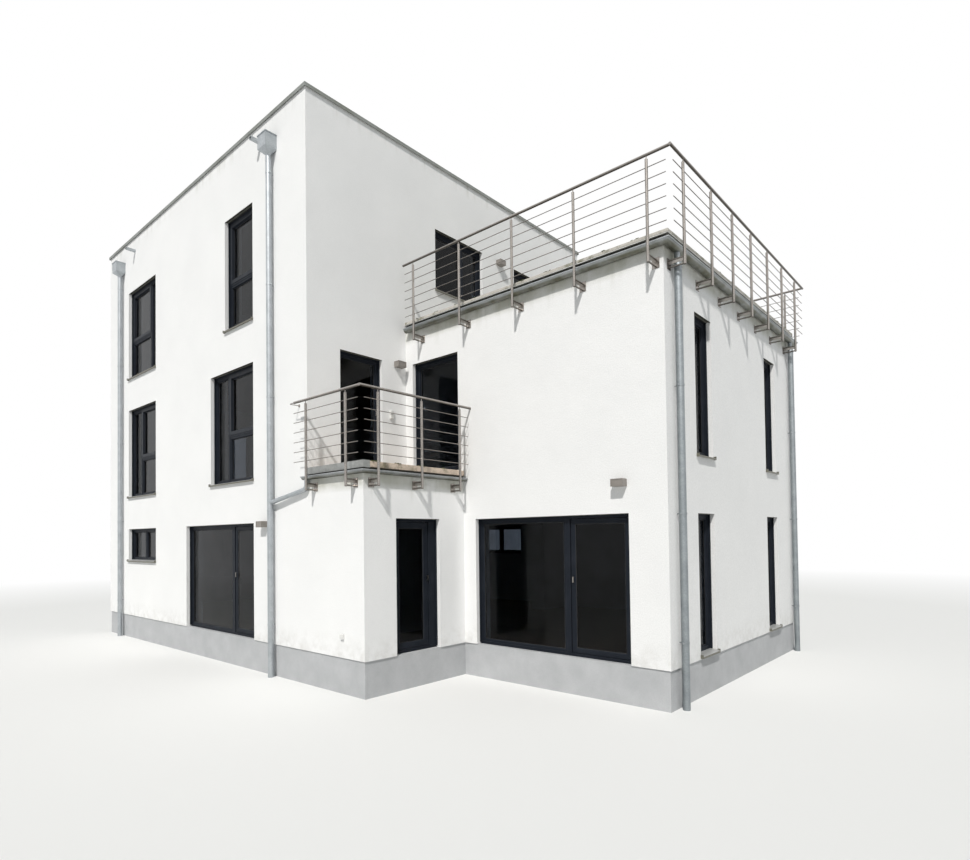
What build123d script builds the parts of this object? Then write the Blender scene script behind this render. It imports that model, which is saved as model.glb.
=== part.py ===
"""Three-storey townhouse tower with a two-storey wing, a small annex under a balcony and a roof terrace.

Millimetres. House coordinates start at the tower's south-east corner, on the underside of the plinth:
x runs along the sunny front to the wing, y runs back from it, z runs up.
"""

import os

from build123d import *

# Levels, from the underside of the plinth
FLOOR = 600
STOREY = 3000
FIRST = FLOOR + STOREY
SECOND = FIRST + STOREY
ROOF_TOP = SECOND + STOREY
PLINTH_DROP = 40
PLINTH_TOP = FLOOR - PLINTH_DROP
DOOR_HEAD = 2110
HEAD_GROUND = FLOOR + DOOR_HEAD
HEAD_FIRST = FIRST + DOOR_HEAD
HEAD_SECOND = SECOND + DOOR_HEAD
SILL_DROP = 90
SLAB = 250
PARAPET = 460
TOWER_TOP = ROOF_TOP + PARAPET

# Walls
WALL = 360
PLINTH_SET = 20
TOWER_L = 9430
TOWER_D = 8350
ANNEX_L = 1490
WING_S = 2180
WING_E = 5280
WING_BACK_SET = 250
WING_N = TOWER_D - WING_BACK_SET

# Decks on the annex and the wing
EDGE_SET = 20
DECK_OUT = 20
DECK_OUT_EAST = 80
BALCONY_BED = 98
BALCONY_EDGE = 92
BALCONY_STEP = 30
BALCONY_DECK = FIRST - BALCONY_STEP
BALCONY_WALL_TOP = BALCONY_DECK - BALCONY_EDGE - BALCONY_BED
TERRACE_BED = 123
TERRACE_EDGE = 72
TERRACE_STEP = 45
TERRACE_DECK = SECOND - TERRACE_STEP
TERRACE_WALL_TOP = TERRACE_DECK - TERRACE_EDGE - TERRACE_BED
UPSTAND_T = 3
UPSTAND_RISE = 8
UPSTAND_DROP = 12
UPSTAND_RETURN = 110

# Roof coping
COPING_OUT = 30
COPING_T = 6
COPING_DROP = 60

# Window and door frames
REVEAL = 100
FRAME_W = 48
FRAME_D = 76
SASH_W = 46
SASH_SET = 8
SASH_D = 60
GLASS_T = 24
GLASS_SET = 26
MODULE = 1735
SLIT = 640
NARROW_SHARE = 0.3
LOW_LIGHT_SHARE = 0.34
HALF = 0.5

# Window sills
SILL_OUT = 45
SILL_FALL = 14
SILL_NOSE = 26
SILL_BACK = 30
SILL_SIDE = 12
SILL_END_T = 5
SILL_END_UP = 14

# Door leaves
LEAF_GAP = 6
LEAF_FREE = 10
LEAF_D = 58
LEAF_SET = 12
STILE = 78
PATIO_POST = 84
ANNEX_POST = 165
ANNEX_STILE = 105

# Door hinges
BARREL_R = 8
BARREL_GAP = 2
PIN_R = 4
PIN_PLAY = 0.06
PIN_UP = 40
KNUCKLE = 52
KNUCKLE_GAP = 0.3
FLAG = 34
FLAG_T = 6
HINGE_UPS = (220, 1040, 1860)
AXIS_IN = REVEAL + FRAME_D + BARREL_GAP + BARREL_R

# Door grips outside and levers inside
LEVER_UP = 1050
ROSE_W = 34
ROSE_H = 72
ROSE_T = 8
LEVER_R = 10
LEVER_OUT = 46
LEVER_L = 118
GRIP_UP = 1128
GRIP_W = 20
GRIP_H = 88
GRIP_OUT = 26
GRIP_T = 8
GRIP_FOOT = 16
GRIP_ROUND = 3

# Openings in the walls: along the wall from and to, then the levels
WEST_MARGIN = 1325
EAST_MARGIN = 1788
NARROW = 1097
PATIO_TOWER_L = 2910
PATIO_WING_START = 277
PATIO_WING_L = 2922
WEST_COLUMN = (-TOWER_L + WEST_MARGIN, -TOWER_L + WEST_MARGIN + MODULE)
EAST_COLUMN = (-EAST_MARGIN - MODULE, -EAST_MARGIN)
NARROW_COLUMN = (-EAST_MARGIN - NARROW, -EAST_MARGIN)
SMALL_SILL_UP = 1318
SMALL_SILL = FLOOR + SMALL_SILL_UP
PATIO_TOWER = (-EAST_MARGIN - PATIO_TOWER_L, -EAST_MARGIN)
TOWER_LEAF_SIDE = 969
PATIO_TOWER_SPLIT = PATIO_TOWER[1] - TOWER_LEAF_SIDE
PATIO_WING = (ANNEX_L + PATIO_WING_START, ANNEX_L + PATIO_WING_START + PATIO_WING_L)
WING_LEAF_SIDE = 1099
PATIO_WING_SPLIT = PATIO_WING[1] - WING_LEAF_SIDE
ANNEX_DOOR_START = 626
ANNEX_DOOR_L = 950
ANNEX_DOOR = (ANNEX_DOOR_START, ANNEX_DOOR_START + ANNEX_DOOR_L)
BALCONY_DOOR_TOWER = (661, 1592)
BALCONY_DOOR_WING = (190, 1379)
TERRACE_WINDOW_START = 820
TERRACE_WINDOW_L = 1450
TERRACE_WINDOW = (WING_S + TERRACE_WINDOW_START, WING_S + TERRACE_WINDOW_START + TERRACE_WINDOW_L)
TERRACE_SILL_UP = 850
TERRACE_WINDOW_SILL = SECOND + TERRACE_SILL_UP
TERRACE_WINDOW_SHARE = 0.6
TERRACE_DOOR_MARGIN = 795
TERRACE_DOOR_END = WING_N - TERRACE_DOOR_MARGIN
TERRACE_DOOR = (TERRACE_DOOR_END - MODULE, TERRACE_DOOR_END)
SLIT_MARGIN_S = 1010
SLIT_MARGIN_N = 1030
SLIT_SOUTH = (WING_S + SLIT_MARGIN_S, WING_S + SLIT_MARGIN_S + SLIT)
SLIT_NORTH = (WING_N - SLIT_MARGIN_N - SLIT, WING_N - SLIT_MARGIN_N)
SLIT_STEP = 30
SLIT_SILL = FIRST - SLIT_STEP
WING_BACK_START = 1900
WING_BACK = (WING_BACK_START, WING_BACK_START + MODULE)
INNER_DOOR_GROUND = (4200, 6600)
INNER_DOOR_FIRST = (4700, 5700)

# Railings
POST_R = 21
RAIL_R = 21
ROD_R = 6
PIN_THIN = 7
POST_H = 1412
FOOT_DOME = 7
RAIL_ABOVE_FOOT = 1467
ROD_FIRST = 175
ROD_STEP = 162
ROD_COUNT = 6
ROD_END = 70
ROD_START = 250
RAIL_START = 210
TERRACE_RAIL_OUT = 232
TERRACE_FOOT_DROP = 297
TERRACE_FOOT = TERRACE_WALL_TOP - TERRACE_FOOT_DROP
BALCONY_RAIL_OUT = 182
BALCONY_FOOT_DROP = 200
BALCONY_FOOT = BALCONY_WALL_TOP - BALCONY_FOOT_DROP
BALCONY_RODS_WEST = -110
BALCONY_RAIL_WEST = -92
STAY_R = 7
STAY_BEND = 26
STAY_REACH = 140
DISC_R = 26
DISC_T = 6
PLATE_W = 110
PLATE_H = 148
PLATE_T = 8
BRACKET_R = 13
BRACKET_SPREAD = 96
PLATE_UP = 66
BOLT_R = 8
BOLT_T = 7
BOLT_SPREAD = 76

# Posts: the first one from the start of a side, and the last one from its end
TERRACE_POST_FIRST = 485
TERRACE_POST_LAST = 112
TERRACE_POSTS = 5
EAST_POST_FIRST = 160
EAST_POST_SECOND = 1145
EAST_POST_LAST = 370
EAST_POSTS = 6
BALCONY_POST_FIRST = 243
BALCONY_POST_LAST = 185
SIDE_POST_FIRST = 143
SIDE_POST_LAST = 273
SIDE_POSTS = 3

# Gutters and downpipes
TERRACE_GUTTER_R = 66
BALCONY_GUTTER_R = 46
TERRACE_GUTTER_START = 90
GUTTER_T = 4
BEAD_R = 9
GUTTER_GAP = 6
TERRACE_LIP_UP = 18
BALCONY_LIP_UP = 44
TERRACE_LIP = TERRACE_WALL_TOP + TERRACE_LIP_UP
BALCONY_LIP = BALCONY_WALL_TOP + BALCONY_LIP_UP
HANGER_W = 28
HANGER_T = 5
HANGER_STEP = 740
PIPE_R = 52
NECK_R = 37
NECK_DROP = 215
COLLAR_R = 56
COLLAR_H = 30
BRANCH_R = 38
BRANCH_BEND = 90
BRANCH_START = 50
BRANCH_DROP = 199
BRANCH_FALL = 180
BRANCH_HIGH = BALCONY_LIP - BRANCH_DROP
BRANCH_LOW = BRANCH_HIGH - BRANCH_FALL
CLAMP_T = 4
CLAMP_R = PIPE_R + CLAMP_T
CLAMP_H = 26
CLAMP_STEM = 7
CLAMPS_TOWER = (900, 2900, 4900, 6900, 8900)
CLAMPS_WING = (900, 2672, 4445)
PIPE_OUT = 84
TOWER_PIPE_MARGIN_W = 955
TOWER_PIPE_MARGIN_E = 1048
WING_PIPE_MARGIN_S = 280
WING_PIPE_MARGIN_N = 180
TOWER_PIPE_WEST = -TOWER_L + TOWER_PIPE_MARGIN_W
TOWER_PIPE_EAST = -TOWER_PIPE_MARGIN_E
WING_PIPE_SOUTH = WING_S + WING_PIPE_MARGIN_S
WING_PIPE_NORTH = WING_N - WING_PIPE_MARGIN_N

# Rain hoppers and overflow spouts
HOPPER_W = 276
HOPPER_D = 220
HOPPER_H = 250
HOPPER_T = 4
HOPPER_TAPER = 90
HOPPER_RIM = 9
HOPPER_RIM_H = 16
HOPPER_DROP = 480
HOPPER_TOP = TOWER_TOP - HOPPER_DROP
SPOUT_OUT = 210
SPOUT_W = 65
SPOUT_H = 55
SPOUT_T = 4
SPOUT_UP = 80
SPOUT_MARGIN_W = 1760
SPOUT_MARGIN_E = 1460
SPOUT_Z = ROOF_TOP + SPOUT_UP
SPOUT_WEST = -TOWER_L + SPOUT_MARGIN_W
SPOUT_EAST = -SPOUT_MARGIN_E

# Wall lamps: a box with a recessed panel in its front; each is placed from the nearest opening's corner
LAMP_W = 190
LAMP_H = 108
LAMP_OUT = 135
LAMP_EDGE = 12
LAMP_RECESS = 5
PATIO_LAMP_ASIDE = 326
PATIO_LAMP_DROP = 86
WING_LAMP_ASIDE = 209
WING_LAMP_UP = 382
BALCONY_LAMP_ASIDE = 290
BALCONY_LAMP_DROP = 71
TERRACE_LAMP_ASIDE = 480
TERRACE_LAMP_DROP = 110
LAMP_PATIO = (PATIO_TOWER[1] + PATIO_LAMP_ASIDE, HEAD_GROUND - PATIO_LAMP_DROP)
LAMP_WING = (PATIO_WING[1] - WING_LAMP_ASIDE, HEAD_GROUND + WING_LAMP_UP)
LAMP_BALCONY = (BALCONY_DOOR_TOWER[1] + BALCONY_LAMP_ASIDE, HEAD_FIRST - BALCONY_LAMP_DROP)
LAMP_TERRACE = (TERRACE_WINDOW[1] + TERRACE_LAMP_ASIDE, HEAD_SECOND - TERRACE_LAMP_DROP)

# Where the tower's corner lies from the middle of the whole outline
X_MIN = -TOWER_L - SILL_OUT
X_MAX = WING_E + TERRACE_RAIL_OUT + RAIL_R
Y_MIN = -HOPPER_D - HOPPER_RIM
Y_MAX = TOWER_D + SILL_OUT
CORNER_X = -(X_MIN + X_MAX) / 2
CORNER_Y = -(Y_MIN + Y_MAX) / 2


def level(height):
    """Horizontal plane over the tower's corner."""
    return Plane(origin=(CORNER_X, CORNER_Y, height))


def facing_south(depth):
    """Upright plane looking south: sketches read along x and up z."""
    return Plane(origin=(CORNER_X, CORNER_Y + depth, 0), x_dir=(1, 0, 0), z_dir=(0, -1, 0))


def facing_east(depth):
    """Upright plane looking east: sketches read along y and up z."""
    return Plane(origin=(CORNER_X + depth, CORNER_Y, 0), x_dir=(0, 1, 0), z_dir=(1, 0, 0))


def area(u_low, u_high, v_low, v_high, mode=Mode.ADD):
    """Rectangle by its edges, in the sketch that is open."""
    with Locations(((u_low + u_high) / 2, (v_low + v_high) / 2)):
        Rectangle(u_high - u_low, v_high - v_low, mode=mode)


def save(piece, label):
    """Names a finished piece and writes its STEP file."""
    piece.part.label = label
    export_step(piece.part, f"parts/{label}.step")


def wall(plane, outlines, openings, depth):
    """Wall panels with openings cut through, pushed back from the plane by depth."""
    with BuildPart() as panel:
        with BuildSketch(plane):
            for outline in outlines:
                area(*outline)
            for opening in openings:
                area(*opening, mode=Mode.SUBTRACT)
        extrude(amount=depth)
    return panel


def house_outline(inset):
    """Outer line of the walls, moved inwards by the inset."""
    return [
        (-TOWER_L + inset, inset),
        (ANNEX_L - inset, inset),
        (ANNEX_L - inset, WING_S + inset),
        (WING_E - inset, WING_S + inset),
        (WING_E - inset, WING_N - inset),
        (-inset, WING_N - inset),
        (-inset, TOWER_D - inset),
        (-TOWER_L + inset, TOWER_D - inset),
    ]


def make_plinth():
    """Recessed base ring that carries every outer wall."""
    with BuildPart() as plinth:
        with BuildSketch(level(0)):
            with BuildLine():
                Polyline(house_outline(PLINTH_SET), close=True)
            make_face()
            with BuildLine(mode=Mode.PRIVATE) as inner:
                Polyline(house_outline(WALL), close=True)
            make_face(inner.edges(), mode=Mode.SUBTRACT)
        extrude(amount=PLINTH_TOP)
    save(plinth, "plinth")


def make_ground_floor():
    """Ground slab inside the plinth ring."""
    with BuildPart() as slab:
        with BuildSketch(level(FLOOR - SLAB)):
            with BuildLine():
                Polyline(house_outline(WALL), close=True)
            make_face()
        extrude(amount=SLAB)
    save(slab, "ground_floor")


def make_tower_walls():
    """South, north and west walls of the tower and its inner east wall."""
    full = (FIRST - SILL_DROP, HEAD_FIRST)
    top = (SECOND - SILL_DROP, HEAD_SECOND)
    low = wall(
        facing_south(0),
        [
            (-TOWER_L, PATIO_TOWER[0], PLINTH_TOP, HEAD_GROUND),
            (PATIO_TOWER[1], ANNEX_L, PLINTH_TOP, HEAD_GROUND),
        ],
        [(*WEST_COLUMN, SMALL_SILL, HEAD_GROUND)],
        -WALL,
    )
    save(low, "tower_south_wall_ground")
    upper = wall(
        facing_south(0),
        [(-TOWER_L, 0, HEAD_GROUND, TOWER_TOP)],
        [(*WEST_COLUMN, *full), (*EAST_COLUMN, *full), (*WEST_COLUMN, *top), (*NARROW_COLUMN, *top)],
        -WALL,
    )
    save(upper, "tower_south_wall_upper")
    low_back = (SMALL_SILL, HEAD_GROUND)
    north = wall(
        facing_south(TOWER_D),
        [(-TOWER_L, 0, PLINTH_TOP, TOWER_TOP)],
        [(*column, *band) for column in (WEST_COLUMN, EAST_COLUMN) for band in (low_back, full, top)],
        WALL,
    )
    save(north, "tower_north_wall")
    west = wall(
        facing_east(-TOWER_L),
        [(WALL, TOWER_D - WALL, PLINTH_TOP, TOWER_TOP)],
        [(*column, *band) for column in (SLIT_SOUTH, SLIT_NORTH) for band in (full, top)],
        WALL,
    )
    save(west, "tower_west_wall")
    east = wall(
        facing_east(0),
        [(WALL, TOWER_D - WALL, FLOOR, TOWER_TOP)],
        [
            (WING_S + WALL, WING_N - WALL, FIRST - SLAB, FIRST),
            (*INNER_DOOR_GROUND, FLOOR, HEAD_GROUND),
            (*INNER_DOOR_FIRST, FIRST, HEAD_FIRST),
            (*BALCONY_DOOR_TOWER, FIRST, HEAD_FIRST),
            (*TERRACE_WINDOW, TERRACE_WINDOW_SILL, HEAD_SECOND),
            (*TERRACE_DOOR, SECOND, HEAD_SECOND),
        ],
        -WALL,
    )
    save(east, "tower_east_wall")


def make_annex_walls():
    """East wall of the annex beside its door, and the band over it."""
    inner = ANNEX_L - WALL
    beside = wall(
        facing_east(ANNEX_L),
        [
            (WALL, ANNEX_DOOR[0], PLINTH_TOP, HEAD_GROUND),
            (ANNEX_DOOR[1], WING_S, PLINTH_TOP, HEAD_GROUND),
        ],
        [],
        -WALL,
    )
    save(beside, "annex_east_wall")
    with BuildPart() as band:
        with BuildSketch(level(HEAD_GROUND)):
            area(0, ANNEX_L, 0, WALL)
            area(inner, ANNEX_L, 0, WING_S)
        extrude(amount=BALCONY_WALL_TOP - HEAD_GROUND)
    save(band, "annex_wall_top")


def make_wing_walls():
    """South, east and north walls of the two-storey wing."""
    piers = wall(
        facing_south(WING_S),
        [
            (ANNEX_L - WALL, PATIO_WING[0], PLINTH_TOP, HEAD_GROUND),
            (PATIO_WING[1], WING_E, PLINTH_TOP, HEAD_GROUND),
        ],
        [],
        -WALL,
    )
    save(piers, "wing_south_wall_ground")
    upper = wall(
        facing_south(WING_S),
        [(0, WING_E, HEAD_GROUND, TERRACE_WALL_TOP)],
        [(*BALCONY_DOOR_WING, FIRST, HEAD_FIRST)],
        -WALL,
    )
    save(upper, "wing_south_wall_upper")
    columns = (SLIT_SOUTH, SLIT_NORTH)
    east = wall(
        facing_east(WING_E),
        [(WING_S + WALL, WING_N - WALL, PLINTH_TOP, TERRACE_WALL_TOP)],
        [(*column, *band) for column in columns for band in ((FLOOR, HEAD_GROUND), (SLIT_SILL, HEAD_FIRST))],
        -WALL,
    )
    save(east, "wing_east_wall")
    north = wall(
        facing_south(WING_N),
        [(0, WING_E, PLINTH_TOP, TERRACE_WALL_TOP)],
        [(*WING_BACK, SMALL_SILL, HEAD_GROUND), (*WING_BACK, FIRST - SILL_DROP, HEAD_FIRST)],
        WALL,
    )
    save(north, "wing_north_wall")


def make_floors():
    """Floor slabs of the upper storeys, the roof slab and the slabs under the two decks."""
    with BuildPart() as first:
        with BuildSketch(level(FIRST - SLAB)):
            area(-TOWER_L + WALL, -WALL, WALL, TOWER_D - WALL)
            area(-WALL, WING_E - WALL, WING_S + WALL, WING_N - WALL)
        extrude(amount=SLAB)
    save(first, "first_floor")
    with BuildPart() as second:
        with BuildSketch(level(SECOND - SLAB)):
            area(-TOWER_L + WALL, -WALL, WALL, TOWER_D - WALL)
        extrude(amount=SLAB)
    save(second, "second_floor")
    with BuildPart() as roof:
        with BuildSketch(level(ROOF_TOP - SLAB)):
            area(-TOWER_L + WALL, -WALL, WALL, TOWER_D - WALL)
        extrude(amount=SLAB)
    save(roof, "tower_roof")


def make_decks():
    """Slab, recessed bed and paved deck of the balcony and the terrace."""
    with BuildPart() as balcony:
        with BuildSketch(level(BALCONY_WALL_TOP - SLAB)):
            area(0, ANNEX_L - WALL, WALL, WING_S)
        extrude(amount=SLAB)
        with BuildSketch(level(BALCONY_WALL_TOP)):
            area(0, ANNEX_L - EDGE_SET, EDGE_SET, WING_S)
        extrude(amount=BALCONY_BED)
    save(balcony, "balcony_slab")
    with BuildPart() as balcony_deck:
        with BuildSketch(level(BALCONY_WALL_TOP + BALCONY_BED)):
            area(0, ANNEX_L + DECK_OUT, -DECK_OUT, WING_S)
        extrude(amount=BALCONY_EDGE)
    save(balcony_deck, "balcony_deck")
    with BuildPart() as upstand:
        with BuildSketch(level(BALCONY_WALL_TOP + BALCONY_BED - UPSTAND_DROP)):
            face = -DECK_OUT - UPSTAND_T
            corner = ANNEX_L + DECK_OUT + UPSTAND_T
            area(0, corner, face, -DECK_OUT)
            area(corner - UPSTAND_T, corner, face, UPSTAND_RETURN)
        extrude(amount=BALCONY_EDGE + UPSTAND_DROP + UPSTAND_RISE)
    save(upstand, "balcony_upstand")
    with BuildPart() as terrace:
        with BuildSketch(level(TERRACE_WALL_TOP - SLAB)):
            area(0, WING_E - WALL, WING_S + WALL, WING_N - WALL)
        extrude(amount=SLAB)
        with BuildSketch(level(TERRACE_WALL_TOP)):
            area(0, WING_E - EDGE_SET, WING_S + EDGE_SET, WING_N - EDGE_SET)
        extrude(amount=TERRACE_BED)
    save(terrace, "terrace_slab")
    with BuildPart() as terrace_deck:
        with BuildSketch(level(TERRACE_WALL_TOP + TERRACE_BED)):
            area(0, WING_E + DECK_OUT_EAST, WING_S - DECK_OUT, WING_N + DECK_OUT)
        extrude(amount=TERRACE_EDGE)
    save(terrace_deck, "terrace_deck")


def make_coping():
    """Folded metal cap on the parapet, with its drip edges."""
    with BuildPart() as coping:
        with BuildSketch(level(TOWER_TOP - COPING_DROP)):
            area(-TOWER_L - COPING_OUT, COPING_OUT, -COPING_OUT, TOWER_D + COPING_OUT)
            edge = COPING_OUT - COPING_T
            area(-TOWER_L - edge, edge, -edge, TOWER_D + edge, mode=Mode.SUBTRACT)
        extrude(amount=COPING_DROP + COPING_T)
        with BuildSketch(level(TOWER_TOP)):
            area(-TOWER_L - COPING_OUT, COPING_OUT, -COPING_OUT, TOWER_D + COPING_OUT)
            back = WALL + COPING_OUT
            area(-TOWER_L + back, -back, back, TOWER_D - back, mode=Mode.SUBTRACT)
        extrude(amount=COPING_T)
    save(coping, "roof_coping")


def pane_fields(low, high, splits):
    """Stretches between the uprights of a frame, each upright one sash bar wide either side."""
    edges = [low + FRAME_W] + [at + side for at in splits for side in (-FRAME_W / 2, FRAME_W / 2)]
    edges.append(high - FRAME_W)
    return list(zip(edges[0::2], edges[1::2]))


def window_panes(window):
    """Sash outlines of a window: a low fixed light and a casement where it has a transom."""
    low, high, bottom, top, splits, transom = window
    fields = pane_fields(low, high, splits)
    panes = []
    for index, (left, right) in enumerate(fields):
        wide = right - left > (high - low) / 2
        if transom and wide:
            panes.append((left, right, bottom + FRAME_W, transom - FRAME_W / 2))
            panes.append((left, right, transom + FRAME_W / 2, top - FRAME_W))
        else:
            panes.append((left, right, bottom + FRAME_W, top - FRAME_W))
    return panes


def make_frames(windows, plane_at, side, label):
    """Frames with their sashes, set back into the reveals of one wall."""
    with BuildPart() as frames:
        with BuildSketch(plane_at(REVEAL)):
            for window in windows:
                area(*window[:4])
                for pane in window_panes(window):
                    area(*pane, mode=Mode.SUBTRACT)
        extrude(amount=side * FRAME_D)
        with BuildSketch(plane_at(REVEAL + SASH_SET)):
            for window in windows:
                for left, right, low, high in window_panes(window):
                    area(left, right, low, high)
                    area(left + SASH_W, right - SASH_W, low + SASH_W, high - SASH_W, mode=Mode.SUBTRACT)
        extrude(amount=side * SASH_D)
    save(frames, label)


def window_glass(windows, plane_at, side):
    """Panes of one wall's windows, as one sketch pushed back by the glass thickness."""
    with BuildPart() as glass:
        with BuildSketch(plane_at(REVEAL + GLASS_SET)):
            for window in windows:
                for left, right, low, high in window_panes(window):
                    area(left + SASH_W, right - SASH_W, low + SASH_W, high - SASH_W)
        extrude(amount=side * GLASS_T)
    return glass


def split_at(window_span, share):
    """Upright between the narrow light and the wide one."""
    return window_span[0] + share * (window_span[1] - window_span[0])


def full_window(span, bottom, top):
    """Full-height window: narrow light, then a casement over a low fixed light."""
    return (*span, bottom, top, [split_at(span, NARROW_SHARE)], bottom + (top - bottom) * LOW_LIGHT_SHARE)


def south_windows():
    """Windows of the tower's sunny front."""
    full = (FIRST - SILL_DROP, HEAD_FIRST)
    top = (SECOND - SILL_DROP, HEAD_SECOND)
    narrow = (*NARROW_COLUMN, *top, [], top[0] + (top[1] - top[0]) * LOW_LIGHT_SHARE)
    small = (*WEST_COLUMN, SMALL_SILL, HEAD_GROUND, [split_at(WEST_COLUMN, HALF)], None)
    return [
        full_window(WEST_COLUMN, *full),
        full_window(EAST_COLUMN, *full),
        full_window(WEST_COLUMN, *top),
        narrow,
        small,
    ]


def north_windows():
    """Windows of the tower's hidden back, the same types again."""
    rows = []
    for column in (WEST_COLUMN, EAST_COLUMN):
        rows.append((*column, SMALL_SILL, HEAD_GROUND, [split_at(column, HALF)], None))
        rows.append(full_window(column, FIRST - SILL_DROP, HEAD_FIRST))
        rows.append(full_window(column, SECOND - SILL_DROP, HEAD_SECOND))
    return rows


def wing_north_windows():
    """Windows of the wing's hidden back."""
    return [
        (*WING_BACK, SMALL_SILL, HEAD_GROUND, [split_at(WING_BACK, HALF)], None),
        full_window(WING_BACK, FIRST - SILL_DROP, HEAD_FIRST),
    ]


def west_windows():
    """Slit windows of the tower's hidden west side."""
    bands = ((FIRST - SILL_DROP, HEAD_FIRST), (SECOND - SILL_DROP, HEAD_SECOND))
    return [(*column, *band, [], None) for column in (SLIT_SOUTH, SLIT_NORTH) for band in bands]


def tower_east_windows():
    """Balcony door, terrace window and terrace door of the tower."""
    split = split_at(TERRACE_WINDOW, TERRACE_WINDOW_SHARE)
    return [
        (*BALCONY_DOOR_TOWER, FIRST, HEAD_FIRST, [], None),
        (*TERRACE_WINDOW, TERRACE_WINDOW_SILL, HEAD_SECOND, [split], None),
        (*TERRACE_DOOR, SECOND, HEAD_SECOND, [split_at(TERRACE_DOOR, HALF)], None),
    ]


def wing_east_windows():
    """Slit windows of the wing."""
    bands = ((FLOOR, HEAD_GROUND), (SLIT_SILL, HEAD_FIRST))
    return [(*column, *band, [], None) for column in (SLIT_SOUTH, SLIT_NORTH) for band in bands]


def wing_south_windows():
    """Upper balcony door of the wing."""
    return [(*BALCONY_DOOR_WING, FIRST, HEAD_FIRST, [], None)]


def make_windows():
    """Frames of each wall and all the fixed glass."""
    groups = [
        (south_windows(), lambda d: facing_south(d), -1, "tower_south_frames"),
        (wing_south_windows(), lambda d: facing_south(WING_S + d), -1, "wing_south_frame"),
        (tower_east_windows(), lambda d: facing_east(-d), -1, "tower_east_frames"),
        (wing_east_windows(), lambda d: facing_east(WING_E - d), -1, "wing_east_frames"),
        (north_windows(), lambda d: facing_south(TOWER_D - d), 1, "tower_north_frames"),
        (wing_north_windows(), lambda d: facing_south(WING_N - d), 1, "wing_north_frames"),
        (west_windows(), lambda d: facing_east(-TOWER_L + d), 1, "tower_west_frames"),
    ]
    panes = []
    for windows, plane_at, side, label in groups:
        make_frames(windows, plane_at, side, label)
        panes.append(window_glass(windows, plane_at, side).part)
    with BuildPart() as glass:
        for pane in panes:
            add(pane)
    save(glass, "window_glass")


def sill_strip(windows, face, side, turn):
    """Sloping metal sills of one wall, drawn in section along each window, with upstands at the ends."""
    back = face + side * REVEAL
    nose = face - side * SILL_OUT
    lip = nose + side * COPING_T
    with BuildPart() as sills:
        for low, high, bottom, *_ in windows:
            slope = bottom + SILL_BACK - SILL_FALL
            front = slope - SILL_FALL
            with BuildSketch(turn(low)):
                with BuildLine():
                    Polyline(
                        (back, bottom),
                        (back, bottom + SILL_BACK),
                        (face, slope),
                        (face, bottom),
                        close=True,
                    )
                make_face()
            extrude(amount=high - low)
            with BuildSketch(turn(low - SILL_SIDE)):
                with BuildLine():
                    Polyline(
                        (face, bottom - SILL_NOSE / 2),
                        (face, slope),
                        (nose, front),
                        (nose, bottom - SILL_NOSE),
                        (lip, bottom - SILL_NOSE),
                        (lip, bottom - SILL_NOSE / 2),
                        close=True,
                    )
                make_face()
            extrude(amount=high - low + 2 * SILL_SIDE)
            for end in (low - SILL_SIDE, high + SILL_SIDE - SILL_END_T):
                with BuildSketch(turn(end)):
                    area(*sorted((nose, face)), bottom - SILL_NOSE, slope + SILL_END_UP)
                extrude(amount=SILL_END_T)
    return sills


def fixed_light(low, split):
    """Outline of the fixed light beside a patio leaf."""
    return (low + FRAME_W, split - PATIO_POST / 2, PLINTH_TOP + FRAME_W, HEAD_GROUND - FRAME_W)


def leaf_outline(split, high):
    """Outline of a patio leaf hung on the far jamb."""
    left = split + PATIO_POST / 2 + LEAF_FREE
    right = high - FRAME_W - LEAF_GAP
    return (left, right, PLINTH_TOP + FRAME_W + LEAF_GAP, HEAD_GROUND - FRAME_W - LEAF_GAP)


def hinge_half(axis, jamb, inward, on_frame):
    """Knuckles of three hinges: the frame's carry the pins, the leaf's are bored for them.

    The sketches stand on the hinge axis with x towards the jamb; inward is the side of y that is indoors.
    """
    if on_frame:
        flag = (0, FLAG, BARREL_GAP + BARREL_R)
    else:
        flag = (-FLAG, 0, AXIS_IN - REVEAL - LEAF_SET - LEAF_D)
    with BuildPart() as half:
        for rise in HINGE_UPS:
            foot = FLOOR + rise - KNUCKLE if on_frame else FLOOR + rise + KNUCKLE_GAP
            origin = (CORNER_X + axis[0], CORNER_Y + axis[1], foot)
            with BuildSketch(Plane(origin=origin, x_dir=jamb, z_dir=(0, 0, 1))):
                Circle(BARREL_R)
                sides = sorted((-inward * flag[2], -inward * (BARREL_R - FLAG_T)))
                area(flag[0], flag[1], *sides)
            extrude(amount=KNUCKLE)
            pin = PIN_R if on_frame else PIN_R + PIN_PLAY
            with BuildSketch(Plane(origin=origin, x_dir=jamb, z_dir=(0, 0, 1))):
                Circle(pin)
            if on_frame:
                extrude(amount=KNUCKLE + PIN_UP)
            else:
                extrude(amount=KNUCKLE, mode=Mode.SUBTRACT)
    return half.part


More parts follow.
